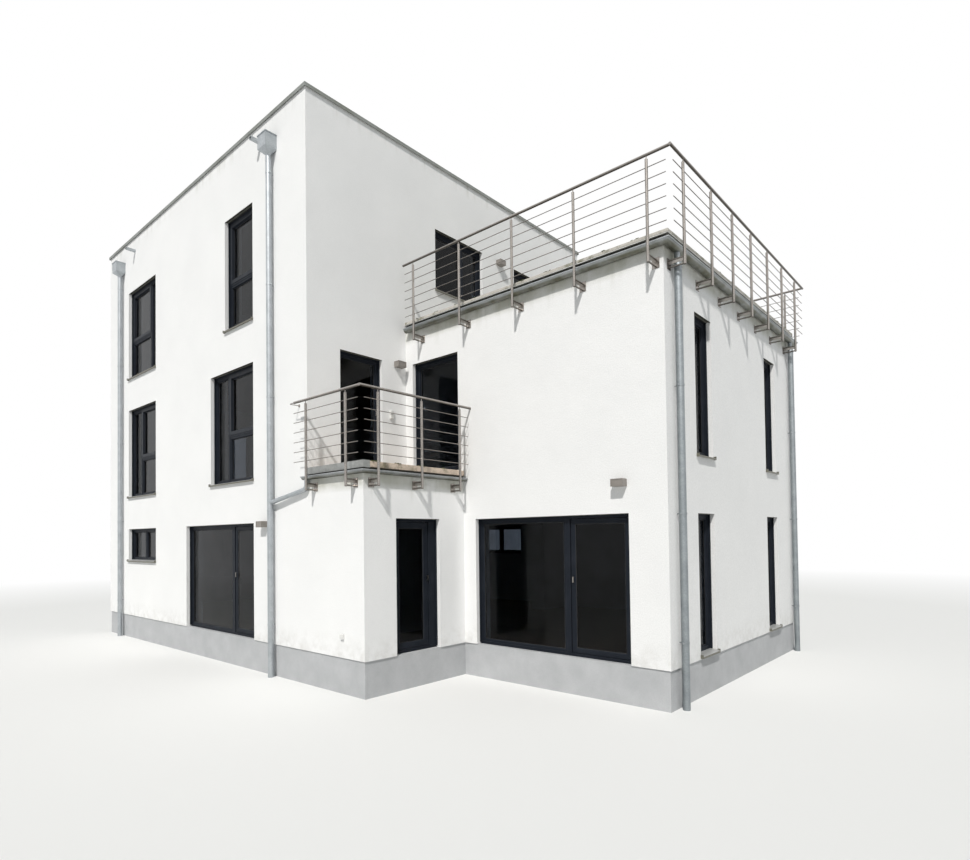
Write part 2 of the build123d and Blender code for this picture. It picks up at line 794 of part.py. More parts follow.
def make_patio(span, split, plane_at, name, front):
    """Patio door: frame with a fixed light, and the leaf that swings inwards."""
    low, high = span
    axis = (high - FRAME_W - LEAF_GAP / 2, front + AXIS_IN)
    frame_hinges = hinge_half(axis, (1, 0, 0), 1, True)
    fixed = fixed_light(low, split)
    opening = (split + PATIO_POST / 2, high - FRAME_W, PLINTH_TOP + FRAME_W, HEAD_GROUND - FRAME_W)
    with BuildPart() as frame:
        with BuildSketch(plane_at(REVEAL)):
            area(low, high, PLINTH_TOP, HEAD_GROUND)
            area(*fixed, mode=Mode.SUBTRACT)
            area(*opening, mode=Mode.SUBTRACT)
        extrude(amount=-FRAME_D)
        with BuildSketch(plane_at(REVEAL + SASH_SET)):
            area(*fixed)
            left, right, bottom, top = fixed
            area(left + SASH_W, right - SASH_W, bottom + SASH_W, top - SASH_W, mode=Mode.SUBTRACT)
        extrude(amount=-SASH_D)
        add(frame_hinges)
    save(frame, f"{name}_frame")
    with BuildPart() as pane:
        with BuildSketch(plane_at(REVEAL + GLASS_SET)):
            area(left + SASH_W, right - SASH_W, bottom + SASH_W, top - SASH_W)
        extrude(amount=-GLASS_T)
    save(pane, f"{name}_glass")
    outline = leaf_outline(split, high)
    hinges = hinge_half(axis, (1, 0, 0), 1, False)
    make_leaf(outline, plane_at, name, STILE, hinges)
    make_handle(plane_at, name, outline[0] + STILE / 2)


def make_leaf(outline, plane_at, name, stile, hinges):
    """Glazed leaf with its pane."""
    left, right, bottom, top = outline
    inner = (left + stile, right - stile, bottom + stile, top - stile)
    with BuildPart() as leaf:
        with BuildSketch(plane_at(REVEAL + LEAF_SET)):
            area(*outline)
            area(*inner, mode=Mode.SUBTRACT)
        extrude(amount=-LEAF_D)
        add(hinges)
    save(leaf, f"{name}_leaf")
    with BuildPart() as pane:
        with BuildSketch(plane_at(REVEAL + GLASS_SET)):
            area(*inner)
        extrude(amount=-GLASS_T)
    save(pane, f"{name}_leaf_glass")


def make_handle(plane_at, name, at):
    """Small bow grip outside, and a lever that hangs down from its rose inside."""
    outside = REVEAL + LEAF_SET
    inside = outside + LEAF_D
    grip = FLOOR + GRIP_UP
    lever = FLOOR + LEVER_UP
    with BuildPart() as handle:
        with BuildSketch(plane_at(outside)):
            for foot in (grip - GRIP_H / 2, grip + GRIP_H / 2 - GRIP_FOOT):
                area(at - GRIP_W / 2, at + GRIP_W / 2, foot, foot + GRIP_FOOT)
        extrude(amount=GRIP_OUT - GRIP_T)
        with BuildSketch(plane_at(outside - GRIP_OUT + GRIP_T)):
            area(at - GRIP_W / 2, at + GRIP_W / 2, grip - GRIP_H / 2, grip + GRIP_H / 2)
            fillet(vertices(), radius=GRIP_ROUND)
        extrude(amount=GRIP_T)
        with BuildSketch(plane_at(inside)):
            area(at - ROSE_W / 2, at + ROSE_W / 2, lever - ROSE_H / 2, lever + ROSE_H / 2)
            fillet(vertices(), radius=GRIP_ROUND)
        extrude(amount=-ROSE_T)
        with BuildSketch(plane_at(inside)):
            with Locations((at, lever)):
                Circle(LEVER_R)
        extrude(amount=-LEVER_OUT)
        with BuildSketch(plane_at(inside + LEVER_OUT - 2 * LEVER_R)):
            area(at - LEVER_R, at + LEVER_R, lever - LEVER_L, lever + LEVER_R)
        extrude(amount=-2 * LEVER_R)
    save(handle, f"{name}_handle")


def make_annex_door():
    """Annex door, hung at its south jamb, beside the broad north post of its frame."""

    def plane_at(depth):
        return facing_east(ANNEX_L - depth)

    low, high = ANNEX_DOOR
    opening = (low + FRAME_W, high - ANNEX_POST, PLINTH_TOP + FRAME_W, HEAD_GROUND - FRAME_W)
    axis = (ANNEX_L - AXIS_IN, low + FRAME_W + LEAF_GAP / 2)
    with BuildPart() as frame:
        with BuildSketch(plane_at(REVEAL)):
            area(low, high, PLINTH_TOP, HEAD_GROUND)
            area(*opening, mode=Mode.SUBTRACT)
        extrude(amount=-FRAME_D)
        add(hinge_half(axis, (0, -1, 0), -1, True))
    save(frame, "annex_door_frame")
    outline = (opening[0] + LEAF_GAP, opening[1] - LEAF_FREE, opening[2] + LEAF_GAP, opening[3] - LEAF_GAP)
    make_leaf(outline, plane_at, "annex_door", ANNEX_STILE, hinge_half(axis, (0, -1, 0), -1, False))
    make_handle(plane_at, "annex_door", outline[1] - GRIP_W)


def make_sills():
    """Metal sills under every window that has one."""

    def along_x(start):
        return Plane(origin=(CORNER_X + start, CORNER_Y, 0), x_dir=(0, 1, 0), z_dir=(1, 0, 0))

    def along_y(start):
        return Plane(origin=(CORNER_X, CORNER_Y + start, 0), x_dir=(1, 0, 0), z_dir=(0, -1, 0))

    strips = [
        sill_strip(south_windows(), 0, 1, along_x).part,
        sill_strip(north_windows(), TOWER_D, -1, along_x).part,
        sill_strip(wing_north_windows(), WING_N, -1, along_x).part,
    ]
    turned = [
        (wing_east_windows(), WING_E, -1),
        (tower_east_windows()[1:2], 0, -1),
        (west_windows(), -TOWER_L, 1),
    ]
    for windows, face, side in turned:
        mirrored = [(-high, -low, bottom) for low, high, bottom, *_ in windows]
        strips.append(sill_strip(mirrored, face, side, lambda s: along_y(-s)).part)
    with BuildPart() as sills:
        for strip in strips:
            add(strip)
    save(sills, "window_sills")


def gutter_section(radius):
    """Half-round gutter with a bead at the lip; the wall lies on the right of the sketch."""
    with BuildSketch() as section:
        Circle(radius)
        Circle(radius - GUTTER_T, mode=Mode.SUBTRACT)
        with Locations((0, radius)):
            Rectangle(4 * radius, 2 * radius, mode=Mode.SUBTRACT)
        with Locations((-radius - BEAD_R + GUTTER_T, 0)):
            Circle(BEAD_R)
    return section.sketch


def end_cap(plane, radius):
    """Half disc that closes a gutter's end."""
    with BuildPart() as cap:
        with BuildSketch(plane):
            Circle(radius)
            with Locations((0, radius)):
                Rectangle(2 * radius, 2 * radius, mode=Mode.SUBTRACT)
        extrude(amount=GUTTER_T)
    return cap.part


def hanger_spots(low, high):
    """Even places for gutter hangers along a run."""
    count = int((high - low) / HANGER_STEP) + 1
    pitch = (high - low) / count
    return [low + pitch * (index + HALF) for index in range(count)]


def hangers(lip, radius, south, east, north):
    """Flat hangers from the recessed bed over the gutter to its bead, along each run.

    Each run is its two ends and the line of the wall it follows, or None.
    """
    reach = GUTTER_GAP + 2 * radius
    with BuildPart() as straps:
        with BuildSketch(level(lip)):
            for run, low, high in ((south, -reach, EDGE_SET), (north, -EDGE_SET, reach)):
                if run:
                    for at in hanger_spots(run[0], run[1]):
                        area(at - HANGER_W / 2, at + HANGER_W / 2, run[2] + low, run[2] + high)
            for at in hanger_spots(east[0], east[1]):
                area(east[2] - EDGE_SET, east[2] + reach, at - HANGER_W / 2, at + HANGER_W / 2)
        extrude(amount=-HANGER_T)
    return straps.part


def gutter_start(x, y, lip):
    """Upright plane across a gutter that sets off eastwards."""
    return Plane(origin=(CORNER_X + x, CORNER_Y + y, lip), x_dir=(0, 1, 0), z_dir=(1, 0, 0))


def make_terrace_gutter():
    """Gutter round three sides of the terrace, mitred at the corners."""
    out = GUTTER_GAP + TERRACE_GUTTER_R
    begin = TERRACE_GUTTER_START
    with BuildPart() as gutter:
        with BuildLine(level(TERRACE_LIP)):
            Polyline(
                (begin, WING_S - out),
                (WING_E + out, WING_S - out),
                (WING_E + out, WING_N + out),
                (begin, WING_N + out),
            )
        with BuildSketch(gutter_start(begin, WING_S - out, TERRACE_LIP)):
            add(gutter_section(TERRACE_GUTTER_R))
        sweep(transition=Transition.RIGHT)
        for run in (WING_S - out, WING_N + out):
            add(end_cap(gutter_start(begin, run, TERRACE_LIP), TERRACE_GUTTER_R))
        south, east, north = (begin, WING_E, WING_S), (WING_S, WING_N, WING_E), (begin, WING_E, WING_N)
        add(hangers(TERRACE_LIP, TERRACE_GUTTER_R, south, east, north))
    save(gutter, "terrace_gutter")


def make_balcony_gutter():
    """Smaller gutter round two sides of the balcony."""
    out = GUTTER_GAP + BALCONY_GUTTER_R
    with BuildPart() as gutter:
        with BuildLine(level(BALCONY_LIP)):
            Polyline(
                (-BALCONY_GUTTER_R, -out),
                (ANNEX_L + out, -out),
                (ANNEX_L + out, WING_S - GUTTER_GAP),
            )
        start = gutter_start(-BALCONY_GUTTER_R, -out, BALCONY_LIP)
        with BuildSketch(start):
            add(gutter_section(BALCONY_GUTTER_R))
        sweep(transition=Transition.RIGHT)
        add(end_cap(start, BALCONY_GUTTER_R))
        end = (CORNER_X + ANNEX_L + out, CORNER_Y + WING_S - GUTTER_GAP, BALCONY_LIP)
        add(end_cap(Plane(origin=end, x_dir=(1, 0, 0), z_dir=(0, -1, 0)), BALCONY_GUTTER_R))
        south, east = (GUTTER_GAP, ANNEX_L, 0), (0, WING_S, ANNEX_L)
        add(hangers(BALCONY_LIP, BALCONY_GUTTER_R, south, east, None))
    save(gutter, "balcony_gutter")


def pipes(places, top):
    """Round pipes from the ground up to their top."""
    with BuildPart() as round_pipes:
        with BuildSketch(level(0)):
            with Locations(*places):
                Circle(PIPE_R)
        extrude(amount=top)
    return round_pipes.part


def clamps(heights, places, wall_plane, stems):
    """Clamps round the pipes, each with its stem to the wall."""
    with BuildPart() as rings:
        for height in heights:
            with BuildSketch(level(height)):
                with Locations(*places):
                    Circle(CLAMP_R)
            extrude(amount=CLAMP_H)
        with BuildSketch(wall_plane):
            for height in heights:
                with Locations(*[(at, height + CLAMP_H / 2) for at in stems]):
                    Circle(CLAMP_STEM)
        extrude(amount=PIPE_OUT)
    return rings.part


def branch_pipe():
    """Thin pipe from the balcony gutter's west end, bent over into the tower's downpipe."""
    outlet = (CORNER_X + BRANCH_START, CORNER_Y - GUTTER_GAP - BALCONY_GUTTER_R)
    start = (*outlet, BALCONY_LIP - BALCONY_GUTTER_R)
    bend = (*outlet, BRANCH_HIGH)
    end = (CORNER_X + TOWER_PIPE_EAST, CORNER_Y - PIPE_OUT, BRANCH_LOW)
    with BuildPart() as branch:
        with BuildLine() as run:
            FilletPolyline(start, bend, end, radius=BRANCH_BEND)
        with BuildSketch(Plane(origin=start, z_dir=(0, 0, -1))):
            Circle(BRANCH_R)
        sweep(path=run.line)
    return branch.part


def make_downpipes():
    """Downpipes on the tower's front and on the wing's east wall, with the gutter outlets over them."""
    places = ((TOWER_PIPE_WEST, -PIPE_OUT), (TOWER_PIPE_EAST, -PIPE_OUT))
    with BuildPart() as tower:
        add(pipes(places, HOPPER_TOP - HOPPER_H - HOPPER_TAPER))
        add(clamps(CLAMPS_TOWER, places, facing_south(0), (TOWER_PIPE_WEST, TOWER_PIPE_EAST)))
        add(branch_pipe())
    save(tower, "tower_downpipes")
    spots = (WING_PIPE_SOUTH, WING_PIPE_NORTH)
    places = [(WING_E + PIPE_OUT, at) for at in spots]
    outlet = TERRACE_LIP - TERRACE_GUTTER_R
    collar = outlet - NECK_DROP
    with BuildPart() as wing:
        add(pipes(places, collar))
        add(clamps(CLAMPS_WING, places, facing_east(WING_E), spots))
        with BuildSketch(level(collar)):
            with Locations(*places):
                Circle(COLLAR_R)
        extrude(amount=COLLAR_H)
        for at in spots:
            with BuildSketch(level(collar + COLLAR_H)):
                with Locations((WING_E + PIPE_OUT, at)):
                    Circle(PIPE_R)
            with BuildSketch(level(outlet)):
                with Locations((WING_E + GUTTER_GAP + TERRACE_GUTTER_R, at)):
                    Circle(NECK_R)
            loft()
    save(wing, "wing_downpipes")


def make_hoppers():
    """Open sheet boxes with a rolled rim and a tapered bottom over the tower's downpipes."""
    floor = HOPPER_TOP - HOPPER_H
    with BuildPart() as hoppers:
        for at in (TOWER_PIPE_WEST, TOWER_PIPE_EAST):
            low, high = at - HOPPER_W / 2, at + HOPPER_W / 2
            with BuildSketch(level(floor)):
                area(low, high, -HOPPER_D, 0)
            extrude(amount=HOPPER_H)
            with BuildSketch(level(HOPPER_TOP - HOPPER_RIM_H)):
                area(low - HOPPER_RIM, high + HOPPER_RIM, -HOPPER_D - HOPPER_RIM, 0)
            extrude(amount=HOPPER_RIM_H)
            with BuildSketch(level(floor)):
                area(low, high, -HOPPER_D, 0)
            with BuildSketch(level(floor - HOPPER_TAPER)):
                with Locations((at, -PIPE_OUT)):
                    Circle(PIPE_R)
            loft()
            with BuildSketch(level(floor)):
                area(low + HOPPER_T, high - HOPPER_T, -HOPPER_D + HOPPER_T, -HOPPER_T)
            extrude(amount=HOPPER_H, mode=Mode.SUBTRACT)
    save(hoppers, "rain_hoppers")


def make_spouts():
    """Square overflow spouts that stand out from the parapet."""
    with BuildPart() as spouts:
        with BuildSketch(facing_south(0)):
            for at in (SPOUT_WEST, SPOUT_EAST):
                with Locations((at, SPOUT_Z)):
                    Rectangle(SPOUT_W, SPOUT_H)
                    Rectangle(SPOUT_W - 2 * SPOUT_T, SPOUT_H - 2 * SPOUT_T, mode=Mode.SUBTRACT)
        extrude(amount=SPOUT_OUT)
    save(spouts, "overflow_spouts")


def spaced(low, high, count):
    """Even places from low to high."""
    return [low + (high - low) * index / (count - 1) for index in range(count)]


def railing_post(foot_point, along):
    """Round post with chamfered ends and a thin pin up to the handrail."""

    def across(rise):
        return Plane(origin=foot_point + Vector(0, 0, rise), x_dir=along, z_dir=(0, 0, 1))

    shoulder = POST_H - FOOT_DOME
    with BuildPart() as post:
        for narrow, wide in ((0, FOOT_DOME), (POST_H, shoulder)):
            with BuildSketch(across(narrow)):
                Circle(POST_R - FOOT_DOME)
            with BuildSketch(across(wide)):
                Circle(POST_R)
            loft()
        with BuildSketch(across(FOOT_DOME)):
            Circle(POST_R)
        extrude(amount=shoulder - FOOT_DOME)
        with BuildSketch(across(shoulder)):
            Circle(PIN_THIN)
        extrude(amount=RAIL_ABOVE_FOOT - shoulder)
    return post.part


def side_bracket(at_wall, along, outward, out):
    """Wall plate with two bolts and two arms out to the post."""
    wall_plane = Plane(origin=at_wall, x_dir=along, z_dir=outward)
    with BuildPart() as bracket:
        with BuildSketch(wall_plane):
            Rectangle(PLATE_W, PLATE_H)
        extrude(amount=PLATE_T)
        with BuildSketch(wall_plane):
            with GridLocations(1, BRACKET_SPREAD, 1, 2):
                Circle(BRACKET_R)
        extrude(amount=out)
        with BuildSketch(wall_plane):
            with GridLocations(BOLT_SPREAD, 1, 2, 1):
                Circle(BOLT_R)
        extrude(amount=PLATE_T + BOLT_T)
    return bracket.part


def make_railing(label, origin, along, outward, out, foot, posts, ends, stay=None):
    """One straight side of a railing: posts on side brackets, six rods and the handrail.

    The sketch planes stand at the wall, with x along it; out is the stand-off of the posts.
    """
    run = Vector(*along)
    away = Vector(*outward)
    base = Vector(CORNER_X + origin[0], CORNER_Y + origin[1], 0)
    rail = foot + RAIL_ABOVE_FOOT
    rod_low, rod_high, rail_low, rail_high = ends
    with BuildPart() as side:
        for at in posts:
            add(railing_post(base + run * at + away * out + Vector(0, 0, foot), along))
            add(side_bracket(base + run * at + Vector(0, 0, foot + PLATE_UP), along, outward, out))
        for index in range(ROD_COUNT):
            height = rail - ROD_FIRST - index * ROD_STEP
            start = base + run * rod_low + away * out + Vector(0, 0, height)
            with BuildSketch(Plane(origin=start, z_dir=along)):
                Circle(ROD_R)
            extrude(amount=rod_high - rod_low)
        start = base + run * rail_low + away * out + Vector(0, 0, rail)
        with BuildSketch(Plane(origin=start, z_dir=along)):
            Circle(RAIL_R)
        extrude(amount=rail_high - rail_low)
        if stay:
            add(wall_stay(start, run, away, out))
    save(side, label)


def wall_stay(start, run, away, out):
    """Bent rod from a handrail's end back to a round disc on the wall."""
    turn = start - run * STAY_REACH
    end = turn - away * (out - DISC_T)
    with BuildPart() as stay:
        with BuildLine() as path:
            FilletPolyline(tuple(start), tuple(turn), tuple(end), radius=STAY_BEND)
        with BuildSketch(Plane(origin=start, z_dir=-run)):
            Circle(STAY_R)
        sweep(path=path.line)
        with BuildSketch(Plane(origin=turn - away * out, z_dir=away)):
            Circle(DISC_R)
        extrude(amount=DISC_T)
    return stay.part


def make_railings():
    """Railings round the terrace and the balcony."""
    out = TERRACE_RAIL_OUT
    depth = WING_N - WING_S
    posts = spaced(TERRACE_POST_FIRST, WING_E - TERRACE_POST_LAST, TERRACE_POSTS)
    ends = (ROD_START, WING_E + out - ROD_END, RAIL_START, WING_E + out - RAIL_R)
    east_posts = [EAST_POST_FIRST, *spaced(EAST_POST_SECOND, depth - EAST_POST_LAST, EAST_POSTS)]
    east_ends = (ROD_END - out, depth + out - ROD_END, -out - RAIL_R, depth + out + RAIL_R)
    for label, origin, along, outward, places, reach in (
        ("terrace_railing_south", (0, WING_S), (1, 0, 0), (0, -1, 0), posts, ends),
        ("terrace_railing_east", (WING_E, WING_S), (0, 1, 0), (1, 0, 0), east_posts, east_ends),
        ("terrace_railing_north", (0, WING_N), (1, 0, 0), (0, 1, 0), posts, ends),
    ):
        make_railing(label, origin, along, outward, out, TERRACE_FOOT, places, reach)
    out = BALCONY_RAIL_OUT
    posts = (BALCONY_POST_FIRST, ANNEX_L - BALCONY_POST_LAST)
    ends = (BALCONY_RODS_WEST, ANNEX_L + out - ROD_END, BALCONY_RAIL_WEST, ANNEX_L + out - RAIL_R)
    make_railing(
        "balcony_railing_south", (0, 0), (1, 0, 0), (0, -1, 0), out, BALCONY_FOOT, posts, ends, stay=True
    )
    posts = spaced(SIDE_POST_FIRST, WING_S - SIDE_POST_LAST, SIDE_POSTS)
    ends = (ROD_END - out, WING_S - ROD_END, -out - RAIL_R, WING_S)
    make_railing("balcony_railing_east", (ANNEX_L, 0), (0, 1, 0), (1, 0, 0), out, BALCONY_FOOT, posts, ends)


def make_lamps():
    """Box lamps beside the doors, each with a panel set back in its front."""
    lamps_at = (
        (facing_south, 0, -1, LAMP_PATIO),
        (facing_south, WING_S, -1, LAMP_WING),
        (facing_east, 0, 1, LAMP_BALCONY),
        (facing_east, 0, 1, LAMP_TERRACE),
    )
    with BuildPart() as lamps:
        for plane, wall_at, way, (start, foot) in lamps_at:
            with BuildSketch(plane(wall_at)):
                area(start, start + LAMP_W, foot, foot + LAMP_H)
            extrude(amount=LAMP_OUT)
            with BuildSketch(plane(wall_at + way * LAMP_OUT)):
                edge = LAMP_EDGE
                area(start + edge, start + LAMP_W - edge, foot + edge, foot + LAMP_H - edge)
            extrude(amount=-LAMP_RECESS, mode=Mode.SUBTRACT)
    save(lamps, "wall_lamps")


os.makedirs("parts", exist_ok=True)
make_plinth()
make_ground_floor()
make_tower_walls()
make_annex_walls()
make_wing_walls()
make_floors()
make_decks()
make_coping()
make_windows()
make_patio(PATIO_TOWER, PATIO_TOWER_SPLIT, lambda d: facing_south(d), "tower_patio", 0)
make_patio(PATIO_WING, PATIO_WING_SPLIT, lambda d: facing_south(WING_S + d), "wing_patio", WING_S)
make_annex_door()
make_sills()
make_terrace_gutter()
make_balcony_gutter()
make_downpipes()
make_hoppers()
make_spouts()
make_railings()
make_lamps()
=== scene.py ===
import math

import bmesh
import bpy
import numpy as np
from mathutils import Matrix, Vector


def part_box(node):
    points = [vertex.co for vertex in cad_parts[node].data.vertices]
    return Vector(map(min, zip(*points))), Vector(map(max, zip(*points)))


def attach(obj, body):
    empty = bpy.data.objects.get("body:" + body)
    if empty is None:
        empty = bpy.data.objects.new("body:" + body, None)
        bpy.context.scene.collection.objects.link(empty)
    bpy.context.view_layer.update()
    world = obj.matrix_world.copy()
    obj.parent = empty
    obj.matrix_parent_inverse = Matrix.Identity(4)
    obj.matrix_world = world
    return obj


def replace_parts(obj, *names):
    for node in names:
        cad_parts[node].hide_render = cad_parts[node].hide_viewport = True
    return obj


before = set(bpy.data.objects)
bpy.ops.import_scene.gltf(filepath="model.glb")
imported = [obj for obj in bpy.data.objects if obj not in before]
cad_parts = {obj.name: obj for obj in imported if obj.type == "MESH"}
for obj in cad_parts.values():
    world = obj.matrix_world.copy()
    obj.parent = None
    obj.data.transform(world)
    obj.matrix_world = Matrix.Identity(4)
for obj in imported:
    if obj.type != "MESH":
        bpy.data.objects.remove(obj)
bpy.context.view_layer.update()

# Camera, from the vanishing points of the walls
CAMERA_AT = (10.834, -9.7215, 2.396)
CAMERA_YAW = math.radians(41.346)
CAMERA_PITCH = math.radians(1.259)
CAMERA_ROLL = math.radians(-0.732)
FOCAL_PX = 610.523
CENTRE_PX = (485.064, 523.738)
PICTURE = (970, 860)
SENSOR = 36.0
FAR = 200

# Light
SUN_FROM = (0.32, -0.59, 0.741)
SUN_STRENGTH = 3.2
SUN_COLOUR = (1.0, 0.975, 0.945)
SUN_SOFTNESS = math.radians(2.5)
SKY_STRENGTH = 0.28
SKY_COLOUR = (0.86, 0.95, 1.0)
FLOOR_CLEAR = (17.0, 34.0)  # radii between which the floor fades into white
FLOOR_RADIUS = 60
FLOOR_COLOUR = (0.80, 0.80, 0.79, 1)
WHITE = (1, 1, 1, 1)

# Levels and edges in metres that the frame gives; the corner is the tower's south-east one
TOWER_LOW, TOWER_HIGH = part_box("tower_south_wall_upper")
WING_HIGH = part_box("wing_east_wall")[1]
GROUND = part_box("ground_floor")[1].z
WALL_FACE = {"south": TOWER_LOW.y, "east": TOWER_HIGH.x, "wing_east": WING_HIGH.x}
CORNER = (TOWER_HIGH.x, TOWER_LOW.y)

# Downpipes, placed from that corner, and the screwed ears on their clamps
TOWER_PIPES = (CORNER[0] - 8.475, CORNER[0] - 1.048)
WING_PIPES = (CORNER[1] + 2.460, CORNER[1] + 7.920)
PIPE_OUT = 0.084             # from the wall to a pipe's middle
EAR_OUT = 0.064              # from a pipe's middle to its clamp's ear
EAR = (0.022, 0.008, 0.026)  # ear's width, thickness and height
SCREW = [(0.006, 0), (0.006, 0.004), (0.004, 0.006)]  # head's (radius, height)
CLAMPS_TOWER = (0.9, 2.9, 4.9, 6.9, 8.9)              # levels of the ears' lower ends
CLAMPS_WING = (0.9, 2.672, 4.445)

# Window and door joinery
SASH = 0.046
MULLION = 0.024        # half the bar between two lights
FRAME = 0.048
FRAME_DEPTH = 0.076
FRAME_SEEN = 0.01      # slack that tells a light at the frame from one at a bar
BEVEL = 0.003
CASEMENT = 0.078
PANE = (0.044, 0.068)  # depths of a window pane's two faces
NODE_PANE = 0.026      # depth at which the gasket sections expect a pane
TRANSOM_UP = 0.20      # from the frame node's transom to the real one
UPRIGHT_OVER = 0.078   # from the frame node's upright to the real one
SPLIT = 0.2            # a light that ends farther than this from the window's edge has a bar there
WIDE = 1.5             # only wider windows have an upright
TURNED_ROUND = (CORNER[0] - 6.5, 6.0)  # windows west of this and above this level are turned round
STILE = 0.078
STILES = {"tower_patio": STILE, "wing_patio": STILE, "annex_door": 0.105}
LEAF_GAP = 0.006
LEAF_FREE = 0.010
HINGES_UP = (0.220, 1.040, 1.860)
KNUCKLE = 0.052
KNUCKLE_GAP = 0.0003
KNUCKLE_SOFT = 0.001
FLAG_SEATS = (0.010, 0.016)  # how far the frame's and the leaf's flag lie off the axis
FLAG = 0.034
BARREL = 0.008
AXIS_BEHIND = 0.086    # hinge axis behind the frame's face
PIN = 0.004
PIN_PLAY = 0.0002
PIN_UP = 0.040
REVEAL = 0.100
GUIDE = (0.026, 0.030)        # shutter rail's width and depth
SLAT = (0.044, 0.058, 0.009)  # end slat's two depths and height
SLOT = (0.058, 0.0015)        # black strip of painted shade in the lintel's slot: its outer depth and height
LINTEL_SHADE = (0.003, 0.0015)        # painted shade on the lintel's underside before the slat: its outer depth and height

# Sockets: (wall axis, place along it, face, height), and (half side, low, high, rounding) of box and lid
SOCKETS = (
    (0, CORNER[1] + 1.795, WALL_FACE["east"], 4.758), (0, CORNER[1] + 1.795, WALL_FACE["east"], 4.676),
    (1, CORNER[0] + 0.951, WALL_FACE["south"], 0.891),
)
SOCKET_STEPS = ((0.040, 0.0, 0.034, 0.006), (0.033, 0.034, 0.046, 0.004))

# Grip of the balcony door: its middle, then its half width, height and feet, and its depths off the leaf
GRIP_AT = (CORNER[1] + 1.592 - FRAME - 0.026, 4.72)
GRIP_FACE = WALL_FACE["east"] - REVEAL - 0.008
GRIP_HALF = (0.010, 0.044)
GRIP_FOOT = 0.016
GRIP_DEPTHS = (0.018, 0.020, 0.026)

# Deck slabs
SLAB_SIDE = 0.498
SLAB_JOINT = 0.004
SLAB_LEAST = 0.02    # narrower leftovers at an edge are left out
SLAB_SETTLES = 0.002
TERRACE_PAVER = 0.049
DRIP_SHEET = (0.013, 0.050, 0.003)  # how far it hangs, how far it reaches in, and its thickness
BED_SET = 0.06       # from the deck's outer edges to the mortar bed

# Moss
TUFTS = 12  # at each joint that has any
TUFT_SIZES = ((0.010, 0.008, 0.006), (0.032, 0.022, 0.020))
TUFT_WOBBLE = 0.25
TUFTS_ALONG = (0.008, 0.050)
TUFTS_INWARD = (0.010, 0.045)
TUFT_SINK = 0.006
TUFT_LIFT = 0.002

# Railing brackets; the wing's walls and the posts are placed from the tower's south-east corner
WING_SOUTH, WING_NORTH, WING_EAST = 2.180, 8.100, 5.280
ANNEX_EAST = 1.490
TERRACE_POSTS = (0.485, WING_EAST - 0.112, 5)
TERRACE_SIDE_POSTS = (0.160, *np.linspace(1.145, 5.550, 6))
BALCONY_POSTS = (0.243, 1.305)
BALCONY_SIDE_POSTS = (0.143, 1.907, 3)
WEB_START = 0.008
WEB_HALF = 0.004
WEB_FOOT = -0.006
WEB_HEAD = 0.037
TERRACE_WEB = (0.211, 6.129)  # reach from the wall and level
BALCONY_WEB = (0.161, 3.246)


def shells_to_mesh(name, shells, material, body="house", smooth=False):
    """Joins closed shells into one piece: each is (copies, points, 3) with its face index blocks."""
    points, faces, start = [], [], 0
    for shell, blocks in shells:
        copies, count = shell.shape[:2]
        shift = start + np.arange(copies)[:, None, None] * count
        for block in blocks:
            faces += (shift + np.asarray(block)[None]).reshape(-1, np.shape(block)[1]).tolist()
        points.append(shell.reshape(-1, 3))
        start += copies * count
    mesh = bpy.data.meshes.new(name)
    mesh.from_pydata(np.concatenate(points), [], faces)
    work = bmesh.new()
    work.from_mesh(mesh)
    bmesh.ops.recalc_face_normals(work, faces=work.faces)
    work.to_mesh(mesh)
    work.free()
    mesh.polygons.foreach_set("use_smooth", np.full(len(mesh.polygons), smooth))
    piece = bpy.data.objects.new(name, mesh)
    bpy.context.scene.collection.objects.link(piece)
    piece.data.materials.append(material)
    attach(piece, body)
    return piece


def ring_faces(rows, around, closed_along=False, capped=True):
    """Quads between neighbouring rings of points, the ends capped or the last ring joined to the first."""
    index = np.arange(rows * around).reshape(rows, around)
    after = np.roll(index, -1, axis=1)
    if closed_along:
        low, low_after = index, after
        high, high_after = np.roll(index, -1, axis=0), np.roll(after, -1, axis=0)
    else:
        low, low_after, high, high_after = index[:-1], after[:-1], index[1:], after[1:]
    blocks = [np.stack([low, low_after, high_after, high], axis=-1).reshape(-1, 4)]
    if capped and not closed_along:
        blocks.append(index[0][None, ::-1])
        blocks.append(index[-1][None])
    return blocks


def across(axis):
    """Two unit vectors square to an axis and to each other."""
    axis = np.asarray(axis, float)
    first = np.cross(axis, (0.0, 0.0, 1.0) if abs(axis[2]) < 0.9 else (1.0, 0.0, 0.0))
    first /= np.linalg.norm(first)
    return first, np.cross(axis, first)


def turned(profile, places, axis, around=16, hollow=False):
    """Profile of (radius, height) turned about an axis at each place: p + h·axis + r·(cos t·u + sin t·v).

    A hollow one has its profile closed on itself instead of a cap at each end.
    """
    profile = np.asarray(profile, float)
    places = np.asarray(places, float).reshape(-1, 3)
    side, up = across(axis)
    turn = np.arange(around) * 2 * np.pi / around
    spoke = np.cos(turn)[:, None] * side + np.sin(turn)[:, None] * up
    one = profile[:, 1][:, None, None] * np.asarray(axis, float) + profile[:, 0][:, None, None] * spoke
    shell = places[:, None, None, :] + one[None]
    return shell.reshape(len(places), -1, 3), ring_faces(len(profile), around, closed_along=hollow)


